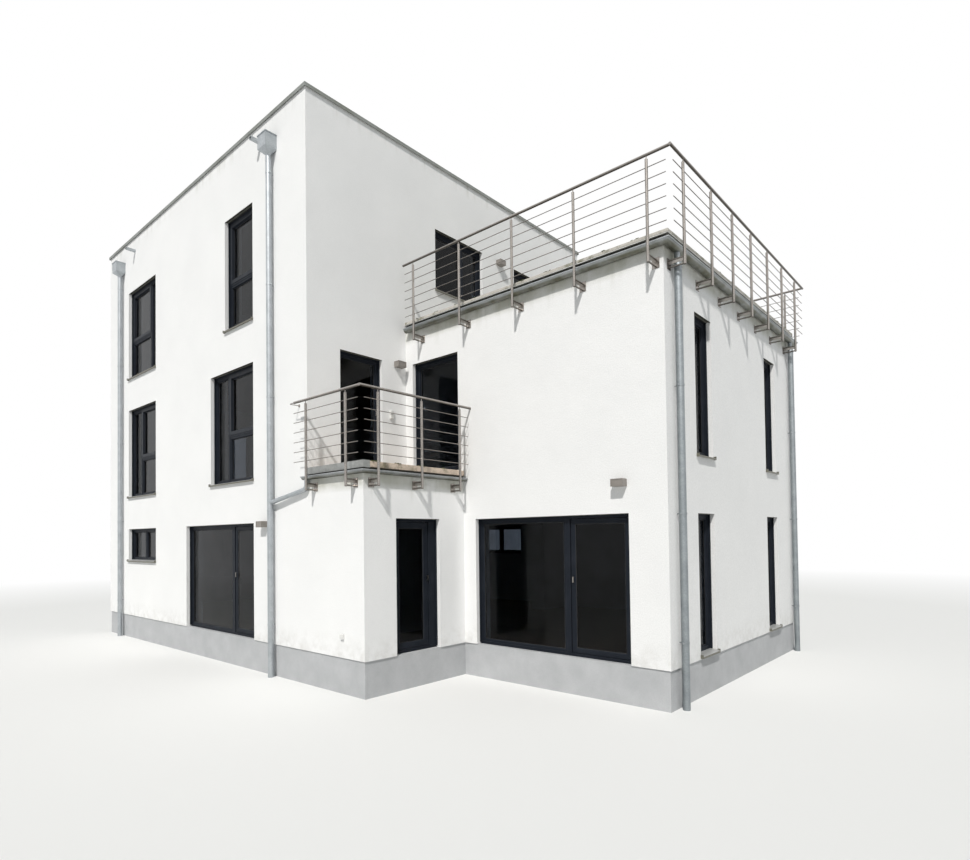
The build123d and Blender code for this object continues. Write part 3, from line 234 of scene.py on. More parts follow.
def bars(lows, highs, edge=BEVEL):
    """Boxes with every edge planed off: each corner gives three points, one on each face beside it."""
    lows = np.asarray(lows, float).reshape(-1, 3)
    highs = np.asarray(highs, float).reshape(-1, 3)
    sign = np.array([(x, y, z) for x in (-1, 1) for y in (-1, 1) for z in (-1, 1)], float)
    inset = edge * (1 - np.eye(3))
    half = (highs - lows) / 2
    reach = half[:, None, None, :] - inset[None, None]
    points = (lows + highs)[:, None, None] / 2 + sign[None, :, None, :] * reach
    corner = {tuple(s): index * 3 for index, s in enumerate(sign)}
    quads, triangles = [], [[at, at + 1, at + 2] for at in corner.values()]
    for axis in range(3):
        one, two = (axis + 1) % 3, (axis + 2) % 3
        for side in (-1, 1):
            loop = []
            for a, b in ((-1, -1), (1, -1), (1, 1), (-1, 1)):
                at = [0, 0, 0]
                at[axis], at[one], at[two] = side, a, b
                loop.append(corner[tuple(at)] + axis)
            quads.append(loop)
        for a, b in ((-1, -1), (1, -1), (1, 1), (-1, 1)):
            low, high = [0, 0, 0], [0, 0, 0]
            low[axis], low[one], low[two] = -1, a, b
            high[axis], high[one], high[two] = 1, a, b
            start, end = corner[tuple(low)], corner[tuple(high)]
            quads.append([start + one, end + one, end + two, start + two])
    return points.reshape(len(lows), -1, 3), [quads, triangles]


def surround(outer, inner, section, depth_axis):
    """Section carried round rectangles, each of its points measured from the outer or the inner one.

    A rectangle is (low u, low z, high u, high z). A section point is (rectangle 0 or 1, inward offset,
    depth), and its four corners are rectangle corner + offset·(inward signs), at that depth.
    """
    pairs = np.stack([outer, inner], axis=1)
    section = np.asarray(section, float)
    chosen = pairs[:, section[:, 0].astype(int)]
    signs = np.array([(1, 1), (-1, 1), (-1, -1), (1, -1)], float)
    u = np.stack([chosen[..., 0], chosen[..., 2], chosen[..., 2], chosen[..., 0]], axis=1)
    z = np.stack([chosen[..., 1], chosen[..., 1], chosen[..., 3], chosen[..., 3]], axis=1)
    u = u + signs[None, :, 0, None] * section[None, None, :, 1]
    z = z + signs[None, :, 1, None] * section[None, None, :, 1]
    depth = np.broadcast_to(section[:, 2], u.shape)
    points = np.stack([depth, u, z] if depth_axis == 0 else [u, depth, z], axis=-1)
    return points.reshape(len(outer), -1, 3), ring_faces(4, len(section), closed_along=True)


def solid_boxes(node):
    """Low and high corners of each solid of a CAD node: triangles that share a corner are one solid."""
    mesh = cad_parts[node].data
    points = np.zeros(len(mesh.vertices) * 3)
    mesh.vertices.foreach_get("co", points)
    corners, index = np.unique(points.reshape(-1, 3).round(5), axis=0, return_inverse=True)
    loops = np.zeros(len(mesh.loops), int)
    mesh.loops.foreach_get("vertex_index", loops)
    triangles = index.reshape(-1)[loops].reshape(-1, 3)
    label = np.arange(len(corners))
    while True:
        lowest = label.copy()
        np.minimum.at(lowest, triangles, label[triangles].min(axis=1)[:, None])
        if (lowest == label).all():
            break
        label = lowest
    names = np.unique(label)
    lows = np.array([corners[label == name].min(axis=0) for name in names])
    highs = np.array([corners[label == name].max(axis=0) for name in names])
    return lows, highs


# Materials

def blank(name, roughness=0.5, metallic=0.0):
    """A material with one surface shader, given with its node tree and that shader."""
    material = bpy.data.materials.new(name)
    material.use_nodes = True
    tree = material.node_tree
    tree.nodes.clear()
    output = tree.nodes.new("ShaderNodeOutputMaterial")
    shader = tree.nodes.new("ShaderNodeBsdfPrincipled")
    shader.inputs["Roughness"].default_value = roughness
    shader.inputs["Metallic"].default_value = metallic
    tree.links.new(shader.outputs[0], output.inputs["Surface"])
    return material, tree, shader


def coordinates(tree, stretch=(1, 1, 1)):
    """Object coordinates, stretched along each axis."""
    place = tree.nodes.new("ShaderNodeTexCoord")
    mapping = tree.nodes.new("ShaderNodeMapping")
    mapping.inputs["Scale"].default_value = stretch
    tree.links.new(place.outputs["Object"], mapping.inputs["Vector"])
    return mapping.outputs[0]


def noise(tree, scale, detail=4.0, stretch=(1, 1, 1), rough=0.55):
    """Cloudy pattern, scale features a metre."""
    node = tree.nodes.new("ShaderNodeTexNoise")
    node.inputs["Scale"].default_value = scale
    node.inputs["Detail"].default_value = detail
    node.inputs["Roughness"].default_value = rough
    tree.links.new(coordinates(tree, stretch), node.inputs["Vector"])
    return node.outputs["Fac"]


def cells(tree, scale):
    """Random value for each crystal or stone, scale a metre."""
    node = tree.nodes.new("ShaderNodeTexVoronoi")
    node.inputs["Scale"].default_value = scale
    tree.links.new(coordinates(tree), node.inputs["Vector"])
    parts = tree.nodes.new("ShaderNodeSeparateColor")
    tree.links.new(node.outputs["Color"], parts.inputs[0])
    return parts.outputs[0]


def spread(tree, value, low, high, to_low=0.0, to_high=1.0):
    """Value between low and high, spread over the new range and held at its ends."""
    node = tree.nodes.new("ShaderNodeMapRange")
    for name, number in (("From Min", low), ("From Max", high), ("To Min", to_low), ("To Max", to_high)):
        node.inputs[name].default_value = number
    tree.links.new(value, node.inputs["Value"])
    return node.outputs[0]


def times(tree, first, second):
    """Product of two values."""
    node = tree.nodes.new("ShaderNodeMath")
    node.operation = "MULTIPLY"
    for socket, value in zip(node.inputs, (first, second)):
        if isinstance(value, (int, float)):
            socket.default_value = value
        else:
            tree.links.new(value, socket)
    return node.outputs[0]


def height_above(tree, low, high):
    """0 below the low level, 1 above the high one."""
    parts = tree.nodes.new("ShaderNodeSeparateXYZ")
    tree.links.new(coordinates(tree), parts.inputs[0])
    return spread(tree, parts.outputs["Z"], low, high)


def between(tree, share, first, second):
    """Colour between two colours by a share; each is a colour or another node's output."""
    node = tree.nodes.new("ShaderNodeMix")
    node.data_type = "RGBA"
    tree.links.new(share, node.inputs["Factor"])
    for name, value in (("A", first), ("B", second)):
        socket = next(s for s in node.inputs if s.name == name and s.type == "RGBA")
        if isinstance(value, tuple):
            socket.default_value = (*value, 1.0)
        else:
            tree.links.new(value, socket)
    return next(s for s in node.outputs if s.type == "RGBA")


def paint(tree, shader, colour):
    """Gives the shader its colour."""
    tree.links.new(colour, shader.inputs["Base Color"])


def raise_surface(tree, shader, layers):
    """Bump from several height patterns, each (value, distance in metres), one over the other."""
    normal = None
    for value, distance in layers:
        node = tree.nodes.new("ShaderNodeBump")
        node.inputs["Strength"].default_value = 1.0
        node.inputs["Distance"].default_value = distance
        tree.links.new(value, node.inputs["Height"])
        if normal is not None:
            tree.links.new(normal, node.inputs["Normal"])
        normal = node.outputs[0]
    tree.links.new(normal, shader.inputs["Normal"])


def render_coat(name, stain_from, stain_to, edge_stain=0.0, grit=0.10):
    """White scratched render: fine grain, slow trowel waves, olive run-off and a damp band under an edge."""
    material, tree, shader = blank(name, 0.85)
    clouds = spread(tree, noise(tree, 0.9, 5), 0.35, 0.7)
    white = between(tree, clouds, (0.895, 0.897, 0.892), (0.855, 0.858, 0.855))
    grain = noise(tree, 230, 3)
    white = between(tree, spread(tree, grain, 0.3, 0.7, 0.0, 0.35), white, (0.72, 0.72, 0.71))
    pits = spread(tree, noise(tree, 62, 3), 0.35, 0.68, 0.0, grit)
    white = between(tree, pits, white, (0.60, 0.60, 0.59))
    runs = spread(tree, noise(tree, 5.0, 5, (1, 1, 0.12)), 0.52, 0.78)
    band = height_above(tree, stain_from, stain_to)
    stained = times(tree, times(tree, runs, band), 0.55)
    white = between(tree, stained, white, (0.34, 0.35, 0.27))
    if edge_stain:
        patches = spread(tree, noise(tree, 2.4, 5), 0.25, 0.62, 0.25 * edge_stain, edge_stain)
        damp = times(tree, height_above(tree, stain_to - 0.26, stain_to - 0.12), patches)
        white = between(tree, damp, white, (0.22, 0.22, 0.11))
    splash = times(tree, height_above(tree, 0.95, 0.55),
                   spread(tree, noise(tree, 7, 5), 0.4, 0.75, 0.0, 0.4))
    white = between(tree, splash, white, (0.42, 0.40, 0.36))
    paint(tree, shader, white)
    raise_surface(tree, shader, [
        (noise(tree, 1.6, 3), 0.012), (noise(tree, 55, 3), 0.0030), (grain, 0.0022),
    ])
    return material


def metal(name, light, dark, roughness, metallic=0.9, scale=7.0, grain=(1, 1, 1), crystals=None, scuff=None,
          dirt_and_shade=None, under=None):
    """Metal with slow blotches, fine brushing along an axis, and crystals where it is galvanised.

    A pair of levels gives a dark olive that fades out upwards between them, partly grime and partly painted
    shade on a gutter's lower side; under is a colour of painted shade on faces that turn down, with the two
    slopes of the surface (its normal's upward part) that it fades between.
    """
    material, tree, shader = blank(name, roughness, metallic)
    blotch = spread(tree, noise(tree, scale, 5), 0.35, 0.7)
    colour = between(tree, blotch, light, dark)
    if crystals:
        value = cells(tree, crystals)
        darker = tuple(0.72 * c for c in dark)
        colour = between(tree, spread(tree, value, 0, 1, 0.0, 0.35), colour, darker)
    if scuff:
        patches = spread(tree, noise(tree, 2.6, 6), 0.55, 0.75, 0.0, 0.6)
        colour = between(tree, patches, colour, scuff)
    if dirt_and_shade:
        # painted shade and grime: darker olive towards the bottom, fading out between the two levels
        grime_and_shade = times(tree, spread(tree, height_above(tree, *dirt_and_shade), 0, 1, 1, 0),
                      spread(tree, noise(tree, 3.5, 6), 0.2, 0.6, 0.45, 1.0))
        colour = between(tree, grime_and_shade, colour, (0.125, 0.125, 0.090))
    if under:
        # painted shade: darker where the surface turns downwards, by its normal's upward part
        place = tree.nodes.new("ShaderNodeTexCoord")
        parts = tree.nodes.new("ShaderNodeSeparateXYZ")
        tree.links.new(place.outputs["Normal"], parts.inputs[0])
        colour = between(tree, spread(tree, parts.outputs["Z"], *under[1:], 0.9, 0.0), colour, under[0])
    paint(tree, shader, colour)
    fine = noise(tree, 420, 2, grain)
    wear = spread(tree, fine, 0.3, 0.7, roughness - 0.06, roughness + 0.10)
    tree.links.new(wear, shader.inputs["Roughness"])
    raise_surface(tree, shader, [(noise(tree, 3.0, 2), 0.0015), (fine, 0.0001)])
    return material


def powder_coat(name, colour, dusty, roughness, shine=0.5):
    """Powder coat: fine orange peel and a dusting that lightens it in places."""
    material, tree, shader = blank(name, roughness)
    shader.inputs["Specular IOR Level"].default_value = shine
    dust = spread(tree, noise(tree, 3.2, 6), 0.45, 0.8, 0.0, 0.6)
    paint(tree, shader, between(tree, dust, colour, dusty))
    peel = noise(tree, 700, 2)
    tree.links.new(spread(tree, noise(tree, 9, 4), 0.3, 0.7, roughness - 0.05, roughness + 0.08),
                   shader.inputs["Roughness"])
    raise_surface(tree, shader, [(peel, 0.00012)])
    return material


def window_pane(name):
    """Clear glass with the slight waves of a sealed unit and a breath of dust."""
    material, tree, shader = blank(name, 0.0)
    shader.inputs["Transmission Weight"].default_value = 1.0
    shader.inputs["IOR"].default_value = 1.22
    film = spread(tree, noise(tree, 1.4, 5), 0.4, 0.75)
    paint(tree, shader, between(tree, film, (0.20, 0.22, 0.25), (0.15, 0.17, 0.19)))
    tree.links.new(spread(tree, noise(tree, 5, 4), 0.5, 0.8, 0.0, 0.03), shader.inputs["Roughness"])
    raise_surface(tree, shader, [(noise(tree, 1.1, 1), 0.004)])
    return material


def stone(name, light, dark, speck, scale, moss=None):
    """Concrete or paving: blotches, sand specks, pores, and moss where it stays damp."""
    material, tree, shader = blank(name, 0.85)
    colour = between(tree, spread(tree, noise(tree, scale, 6), 0.3, 0.7), light, dark)
    grit = cells(tree, 220)
    colour = between(tree, spread(tree, grit, 0.6, 1.0, 0.0, 0.5), colour, speck)
    if moss:
        damp = spread(tree, noise(tree, 4.5, 7, rough=0.7), 0.52, 0.66, 0.0, 0.85)
        colour = between(tree, damp, colour, moss)
    paint(tree, shader, colour)
    raise_surface(tree, shader, [(noise(tree, 60, 5), 0.003), (grit, 0.0008)])
    return material


def rubber(name):
    """Black seal with a dusty bloom."""
    material, tree, shader = blank(name, 0.6)
    paint(tree, shader, between(tree, spread(tree, noise(tree, 12, 5), 0.4, 0.8), (0.008, 0.008, 0.009),
                                (0.03, 0.03, 0.03)))
    raise_surface(tree, shader, [(noise(tree, 300, 2), 0.0002)])
    return material


def boards(name):
    """Oak floor boards with long joints, seen through the glass."""
    material, tree, shader = blank(name, 0.45)
    brick = tree.nodes.new("ShaderNodeTexBrick")
    for socket, value in (
        ("Scale", 1.0), ("Brick Width", 1.9), ("Row Height", 0.16), ("Mortar Size", 0.0015),
        ("Color1", (0.36, 0.24, 0.14, 1)), ("Color2", (0.27, 0.17, 0.09, 1)),
        ("Mortar", (0.06, 0.04, 0.02, 1)),
    ):
        brick.inputs[socket].default_value = value
    tree.links.new(coordinates(tree), brick.inputs["Vector"])
    grain = spread(tree, noise(tree, 60, 4, (0.06, 1, 1)), 0.4, 0.7, 0.0, 0.5)
    paint(tree, shader, between(tree, grain, brick.outputs["Color"], (0.16, 0.10, 0.05)))
    raise_surface(tree, shader, [
        (brick.outputs["Fac"], -0.001), (noise(tree, 60, 4, (0.06, 1, 1)), 0.0004),
    ])
    return material


TOWER_TOP = TOWER_HIGH.z
WING_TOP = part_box("wing_east_wall")[1].z
ANNEX_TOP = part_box("annex_wall_top")[1].z
TERRACE_GUTTER_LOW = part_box("terrace_gutter")[0].z
BALCONY_GUTTER_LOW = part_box("balcony_gutter")[0].z

tower_coat = render_coat("tower_render", TOWER_TOP - 0.35, TOWER_TOP)
wing_coat = render_coat("wing_render", WING_TOP - 0.45, WING_TOP, 0.55, 0.32)
annex_coat = render_coat("annex_render", ANNEX_TOP - 0.45, ANNEX_TOP, 0.5)
base_coat = stone("base_coat", (0.50, 0.51, 0.52), (0.42, 0.43, 0.44), (0.34, 0.34, 0.35), 3.0)
balcony_paving = stone("balcony_paving", (0.70, 0.58, 0.47), (0.58, 0.48, 0.39), (0.30, 0.25, 0.20), 5.0,
                       (0.20, 0.18, 0.11))
terrace_paving = stone("terrace_paving", (0.62, 0.60, 0.55), (0.50, 0.48, 0.43), (0.26, 0.24, 0.20), 5.0,
                       (0.15, 0.15, 0.09))
# near-black bed and slab edges: painted shade in the gap under the slabs
painted_shade_bed = stone("painted_shade_bed", (0.07, 0.066, 0.06), (0.03, 0.03, 0.027), (0.12, 0.11, 0.10), 14.0)
zinc = metal("zinc", (0.50, 0.53, 0.55), (0.39, 0.42, 0.44), 0.42, 0.85, 6.0, (1, 1, 0.1), 70)
wing_zinc = metal("wing_zinc", (0.34, 0.37, 0.385), (0.26, 0.285, 0.30), 0.5, 0.8, 6.0, (1, 1, 0.1), 70)
# terrace gutter: its dark olive towards the bottom is partly grime and partly painted shade
terrace_zinc = metal("terrace_zinc", (0.56, 0.59, 0.61), (0.44, 0.47, 0.49), 0.45, 0.8, 6.0, (1, 1, 1), 70,
                     dirt_and_shade=(TERRACE_GUTTER_LOW + 0.024, TERRACE_GUTTER_LOW + 0.070))
# balcony gutter: its dark olive towards the bottom is partly grime and partly painted shade
balcony_zinc = metal("balcony_zinc", (0.50, 0.52, 0.53), (0.36, 0.38, 0.39), 0.45, 0.8, 6.0, (1, 1, 1), 70,
                     dirt_and_shade=(BALCONY_GUTTER_LOW + 0.005, BALCONY_GUTTER_LOW + 0.042))
upstand_zinc = metal("upstand_zinc", (0.42, 0.43, 0.42), (0.30, 0.31, 0.30), 0.5, 0.7, 5.0, (1, 1, 0.1), 60,
                     (0.13, 0.13, 0.11))
drip_metal = metal("drip_metal", (0.80, 0.80, 0.78), (0.62, 0.62, 0.58), 0.4, 0.5, 5.0)
# under gives the lower sides of rails and posts painted shade
stainless = metal("stainless", (0.46, 0.43, 0.40), (0.37, 0.345, 0.32), 0.26, 1.0, 9.0, (0.3, 0.3, 1),
                  under=((0.060, 0.052, 0.044), -0.7, 0.3))
web_steel = metal("web_steel", (0.40, 0.38, 0.355), (0.31, 0.29, 0.27), 0.45, 0.8, 12.0)
coping_metal = metal("coping_metal", (0.27, 0.285, 0.27), (0.19, 0.20, 0.18), 0.5, 0.5, 3.0, (1, 1, 1), None,
                     (0.15, 0.16, 0.11))
# under gives the sills' front noses painted shade
sill_metal = metal("sill_metal", (0.46, 0.465, 0.46), (0.36, 0.365, 0.355), 0.45, 0.4, 5.0,
                   under=((0.13, 0.125, 0.095), 0.2, 0.8))
anthracite = powder_coat("anthracite", (0.013, 0.016, 0.022), (0.024, 0.028, 0.036), 0.42, 0.08)
# the frames' own coat, painted a little lighter and shinier: painted light on the casements' proud faces
skylit_casement_coat = powder_coat("skylit_casement_coat", (0.016, 0.019, 0.025), (0.026, 0.030, 0.038), 0.38, 0.12)
lamp_coat = powder_coat("lamp_coat", (0.22, 0.20, 0.18), (0.30, 0.28, 0.26), 0.4)
glass = window_pane("glass")
seal = rubber("seal")
floor_boards = boards("floor_boards")
moss = stone("moss", (0.10, 0.11, 0.035), (0.045, 0.055, 0.02), (0.16, 0.13, 0.05), 90.0)
socket_white = powder_coat("socket_white", (0.72, 0.72, 0.70), (0.60, 0.60, 0.57), 0.35)
slat_coat = powder_coat("slat_coat", (0.10, 0.10, 0.085), (0.15, 0.15, 0.13), 0.4)
# dark olive strip on the lintel's underside: painted shade
lintel_shade_coat = stone("lintel_shade_coat", (0.050, 0.048, 0.036), (0.030, 0.030, 0.022), (0.10, 0.10, 0.08), 9.0)
felt = stone("felt", (0.20, 0.20, 0.20), (0.13, 0.13, 0.13), (0.28, 0.28, 0.27), 1.4)

FINISH = {
    "plinth": base_coat,
    "ground_floor": floor_boards,
    "first_floor": floor_boards,
    "second_floor": floor_boards,
    "tower_roof": felt,
    "balcony_upstand": upstand_zinc,
    "terrace_gutter": terrace_zinc,
    "balcony_gutter": balcony_zinc,
    # the slabs' edges take the near-black bed colour as painted shade
    "balcony_slab": painted_shade_bed,
    "terrace_slab": painted_shade_bed,
    "roof_coping": coping_metal,
    "window_sills": sill_metal,
    "wall_lamps": lamp_coat,
    "annex_wall_top": annex_coat,
    "annex_east_wall": annex_coat,
}


def finish_for(node):
    """Material of a CAD node, by its own name or by the words in it."""
    if node in FINISH:
        return FINISH[node]
    if "glass" in node:
        return glass
    if "frame" in node or node.endswith("_leaf"):
        return anthracite
    if "railing" in node or "handle" in node:
        return stainless
    if node.startswith("wing") and "pipe" in node:
        return wing_zinc
    if any(word in node for word in ("gutter", "pipe", "hopper", "spout")):
        return zinc
    return wing_coat if node.startswith("wing") else tower_coat


def finish_nodes():
    """Gives every CAD node its material."""
    for name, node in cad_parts.items():
        node.data.materials.clear()
        node.data.materials.append(finish_for(name))


def on_wall(axis, points):
    """Points given as (along the wall, into it, up), as x, y, z for a wall that faces along the axis."""
    return points[..., [1, 0, 2]] if axis == 0 else points


def rectangles(lows, highs, depth_axis):
    """Rectangles (low u, low z, high u, high z) of boxes seen along the depth axis."""
    run = 1 - depth_axis
    return np.stack([lows[:, run], lows[:, 2], highs[:, run], highs[:, 2]], axis=1)


def grown(rectangle, by):
    """Rectangles grown outwards by a distance on every side."""
    return rectangle + np.array([-by, -by, by, by])


# Sections of frames, sashes and seals: (outer 0 or inner 1 outline, offset from it, depth)
FRAME_SECTION = [
    (0, 0.0, 0.0), (1, -BEVEL, 0.0), (1, 0.0, BEVEL), (1, 0.0, 0.073), (1, -BEVEL, 0.076), (0, 0.0, 0.076),
]
SASH_SECTION = [
    (0, 0.0, 0.010), (0, 0.002, 0.008), (0, 0.034, 0.008), (0, 0.037, 0.011), (0, 0.040, 0.018),
    (0, 0.046, 0.0255), (0, 0.046, 0.0505), (0, 0.038, 0.060), (0, 0.034, 0.068),
    (0, 0.002, 0.068), (0, 0.0, 0.066),
]
LEAF_SECTION = [
    (0, 0.0, 0.014), (0, 0.002, 0.012), (0, 0.062, 0.012), (0, 0.066, 0.015), (0, 0.070, 0.020),
    (0, 0.078, 0.0255), (0, 0.078, 0.0505), (0, 0.070, 0.060), (0, 0.064, 0.070),
    (0, 0.002, 0.070), (0, 0.0, 0.068),
]
WINDOW_SECTION = [
    (0, 0.0, 0.010), (0, 0.002, 0.008), (0, 0.034, 0.008), (0, 0.037, 0.011), (0, 0.040, 0.024),
    (0, 0.046, 0.0435), (0, 0.046, 0.0685), (0, 0.038, 0.073), (0, 0.034, 0.075),
    (0, 0.002, 0.075), (0, 0.0, 0.073),
]
CASEMENT_SECTION = [
    (0, -0.006, -0.001), (0, -0.006, -0.007), (0, -0.004, -0.009), (0, 0.062, -0.009), (0, 0.066, -0.006),
    (0, 0.070, 0.012), (0, 0.078, 0.0435), (0, 0.078, 0.0685), (0, 0.070, 0.074), (0, 0.002, 0.074),
    (0, 0.001, -0.001),
]
GASKET_SECTIONS = (
    [(0, -0.001, 0.0262), (0, -0.001, 0.0225), (0, 0.006, 0.0238), (0, 0.006, 0.0262)],
    [(0, -0.001, 0.0498), (0, 0.006, 0.0498), (0, 0.006, 0.0522), (0, -0.001, 0.0535)],
)


def at_depth(section, face, inward):
    """Section with its depths counted from the frame's outer face into the wall."""
    return [(which, offset, face + inward * depth) for which, offset, depth in section]


# Shells gathered wall by wall, to be joined by their material
SHUTTERS = {"rails": [], "slot_shade": [], "slats": [], "lintel_shade": []}
WINDOW_PARTS = {"casements": [], "panes": [], "seals": []}


def head_strip(windows, face, side, axis, depth, drop, inset):
    """Strips under the window heads, between two depths in the reveal."""
    left, _, right, high = windows.T
    at = face - side * REVEAL + side * np.array(depth)
    lows = np.column_stack([left + inset, np.full(len(left), at.min()), high - drop])
    highs = np.column_stack([right - inset, np.full(len(left), at.max()), high])
    return bars(*on_wall(axis, np.stack([lows, highs])), edge=min(0.0005, drop / 4))


def guide_rails(windows, face, side, axis):
    """Shutter guide rails at both jambs of each window, before its frame."""
    left, low, right, high = windows.T
    starts = np.concatenate([left, right - GUIDE[0]])
    at = np.sort([face, face - side * GUIDE[1]])
    foot = np.tile(low + GUIDE[1], 2)
    lows = np.column_stack([starts, np.full(len(starts), at[0]), foot])
    highs = np.column_stack([starts + GUIDE[0], np.full(len(starts), at[1]), np.tile(high, 2) - LINTEL_SHADE[1]])
    return bars(*on_wall(axis, np.stack([lows, highs])), edge=0.002)


def shutter_parts(windows, face, side, axis):
    """Guide rails, the slot in the lintel with the end slat that hangs out of it, and thin dark strips of
    painted shade in the slot and on the lintel's underside.
    """
    SHUTTERS["rails"].append(guide_rails(windows, face, side, axis))
    # black strip with the seal's colour: painted shade inside the slot
    SHUTTERS["slot_shade"].append(head_strip(windows, face, side, axis, (SLOT[0], REVEAL), SLOT[1], 0.0))
    SHUTTERS["slats"].append(head_strip(windows, face, side, axis, SLAT[:2], SLAT[2], GUIDE[0]))
    # thin dark strip of painted shade on the lintel's underside, from near the wall face to the slat
    SHUTTERS["lintel_shade"].append(head_strip(windows, face, side, axis, (LINTEL_SHADE[0], SLAT[0]), LINTEL_SHADE[1], 0.0))


def make_shutters():
    """Shutter parts of all the windows and doors, gathered by their material."""
    for name, material, slot in (
        # the slot strip and the lintel strip are dark as painted shade
        ("rails", anthracite, "anthracite"), ("slot_shade", seal, None),
        ("slats", slat_coat, "sill_metal"), ("lintel_shade", lintel_shade_coat, "concrete"),
    ):
        shells_to_mesh("shutter_" + name, SHUTTERS[name], material)


def lights_of(glass_at, window):
    """Sash outlines, with the bars of full windows where the photo has them, and which are casements.

    The transom is higher than the frame node's and the upright farther over; the top window of the west
    column is turned round, its narrow light on the right.
    """
    light = grown(glass_at, SASH)
    below = light[:, 3] < window[:, 3] - SPLIT
    casement = light[:, 1] > window[:, 1] + SPLIT
    light[below, 3] += TRANSOM_UP
    light[casement, 1] += TRANSOM_UP
    crossed = (window[:, None] == window[None, below]).all(axis=2).any(axis=1)
    upright = crossed & (np.ptp(window[:, [0, 2]], axis=1) > WIDE)
    round_ones = upright & (window[:, 1] > TURNED_ROUND[1]) & (window[:, 0] < TURNED_ROUND[0])
    ends = (window[round_ones, 0] + window[round_ones, 2])[:, None]
    light[np.ix_(round_ones, [0, 2])] = ends - light[np.ix_(round_ones, [2, 0])]
    straight = upright & ~round_ones
    light[straight & (light[:, 2] < window[:, 2] - SPLIT), 2] += UPRIGHT_OVER
    light[straight & (light[:, 0] > window[:, 0] + SPLIT), 0] += UPRIGHT_OVER
    return light, casement


def joinery(frames, side, panes):
    """Frames, sashes, panes and seals of one wall, made round each pane of glass of the CAD node.

    The frame's outer line is the window's own edge, or the middle of the bar between two lights. A frame
    is thin along the axis that it faces.
    """
    lows, highs = solid_boxes(frames)
    size = highs[0] - lows[0]
    axis = int(size[0] > size[1])
    windows = rectangles(lows, highs, axis)
    inside = (panes[0][:, axis] > lows[:, axis].min()) & (panes[1][:, axis] < highs[:, axis].max())
    glass_at = rectangles(panes[0][inside], panes[1][inside], axis)
    middle = (glass_at[:, :2] + glass_at[:, 2:]) / 2
    within = (middle[:, None] > windows[None, :, :2]) & (middle[:, None] < windows[None, :, 2:])
    within = within.all(axis=2)
    glass_at = glass_at[within.any(axis=1)]
    window = windows[within[within.any(axis=1)].argmax(axis=1)]
    light, casement = lights_of(glass_at, window)
    outer = np.where(abs(window - light) < FRAME + FRAME_SEEN, window, grown(light, MULLION))
    face = lows[:, axis].min() if side > 0 else highs[:, axis].max()
    fixed = light[~casement]
    shells = [
        surround(outer, light, at_depth(FRAME_SECTION, face, side), axis),
        surround(fixed, fixed, at_depth(WINDOW_SECTION, face, side), axis),
    ]
    piece = shells_to_mesh(frames + "_joinery", shells, anthracite)
    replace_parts(piece, frames)
    shutter_parts(windows, face, side, axis)
    hung = light[casement]
    if len(hung):
        section = at_depth(CASEMENT_SECTION, face, side)
        WINDOW_PARTS["casements"].append(surround(hung, hung, section, axis))
    seat = np.where(casement[:, None], grown(light, -CASEMENT), grown(light, -SASH))
    behind = np.sort(face + side * np.array(PANE))
    lows = np.column_stack([seat[:, 0], np.full(len(seat), behind[0]), seat[:, 1]])
    highs = np.column_stack([seat[:, 2], np.full(len(seat), behind[1]), seat[:, 3]])
    WINDOW_PARTS["panes"].append(bars(on_wall(axis, lows), on_wall(axis, highs), edge=0.001))
    deeper = face + side * (PANE[0] - NODE_PANE)
    WINDOW_PARTS["seals"] += [surround(seat, seat, at_depth(s, deeper, side), axis) for s in GASKET_SECTIONS]


def make_windows():
    """Joinery, casements, panes and seals of every fixed window and upper door."""
    panes = solid_boxes("window_glass")
    for name, side in (
        ("tower_south_frames", 1), ("wing_south_frame", 1), ("tower_north_frames", -1),
        ("wing_north_frames", -1), ("tower_east_frames", -1), ("wing_east_frames", -1),
        ("tower_west_frames", 1),
    ):
        joinery(name, side, panes)
    shells_to_mesh("casements", WINDOW_PARTS["casements"], skylit_casement_coat)
    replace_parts(shells_to_mesh("window_panes", WINDOW_PARTS["panes"], glass), "window_glass")
    shells_to_mesh("window_seals", WINDOW_PARTS["seals"], seal)


def door_box(axis, u, z, depth):
    """Low and high corners of a box given along the wall, upwards and into it."""
    low, high = np.array([u[0], depth[0], z[0]]), np.array([u[1], depth[1], z[1]])
    low, high = np.minimum(low, high), np.maximum(low, high)
    return on_wall(axis, low), on_wall(axis, high)


def hinge_barrel(place, foot, bore):
    """Knuckle with softened ends and a bore, turned about the upright hinge axis."""
    rim = BARREL - KNUCKLE_SOFT
    profile = [
        (bore, 0), (rim, 0), (BARREL, KNUCKLE_SOFT), (BARREL, KNUCKLE - KNUCKLE_SOFT), (rim, KNUCKLE),
        (bore, KNUCKLE),
    ]
    return turned(profile, [(*place, foot)], (0, 0, 1), 20, hollow=True)


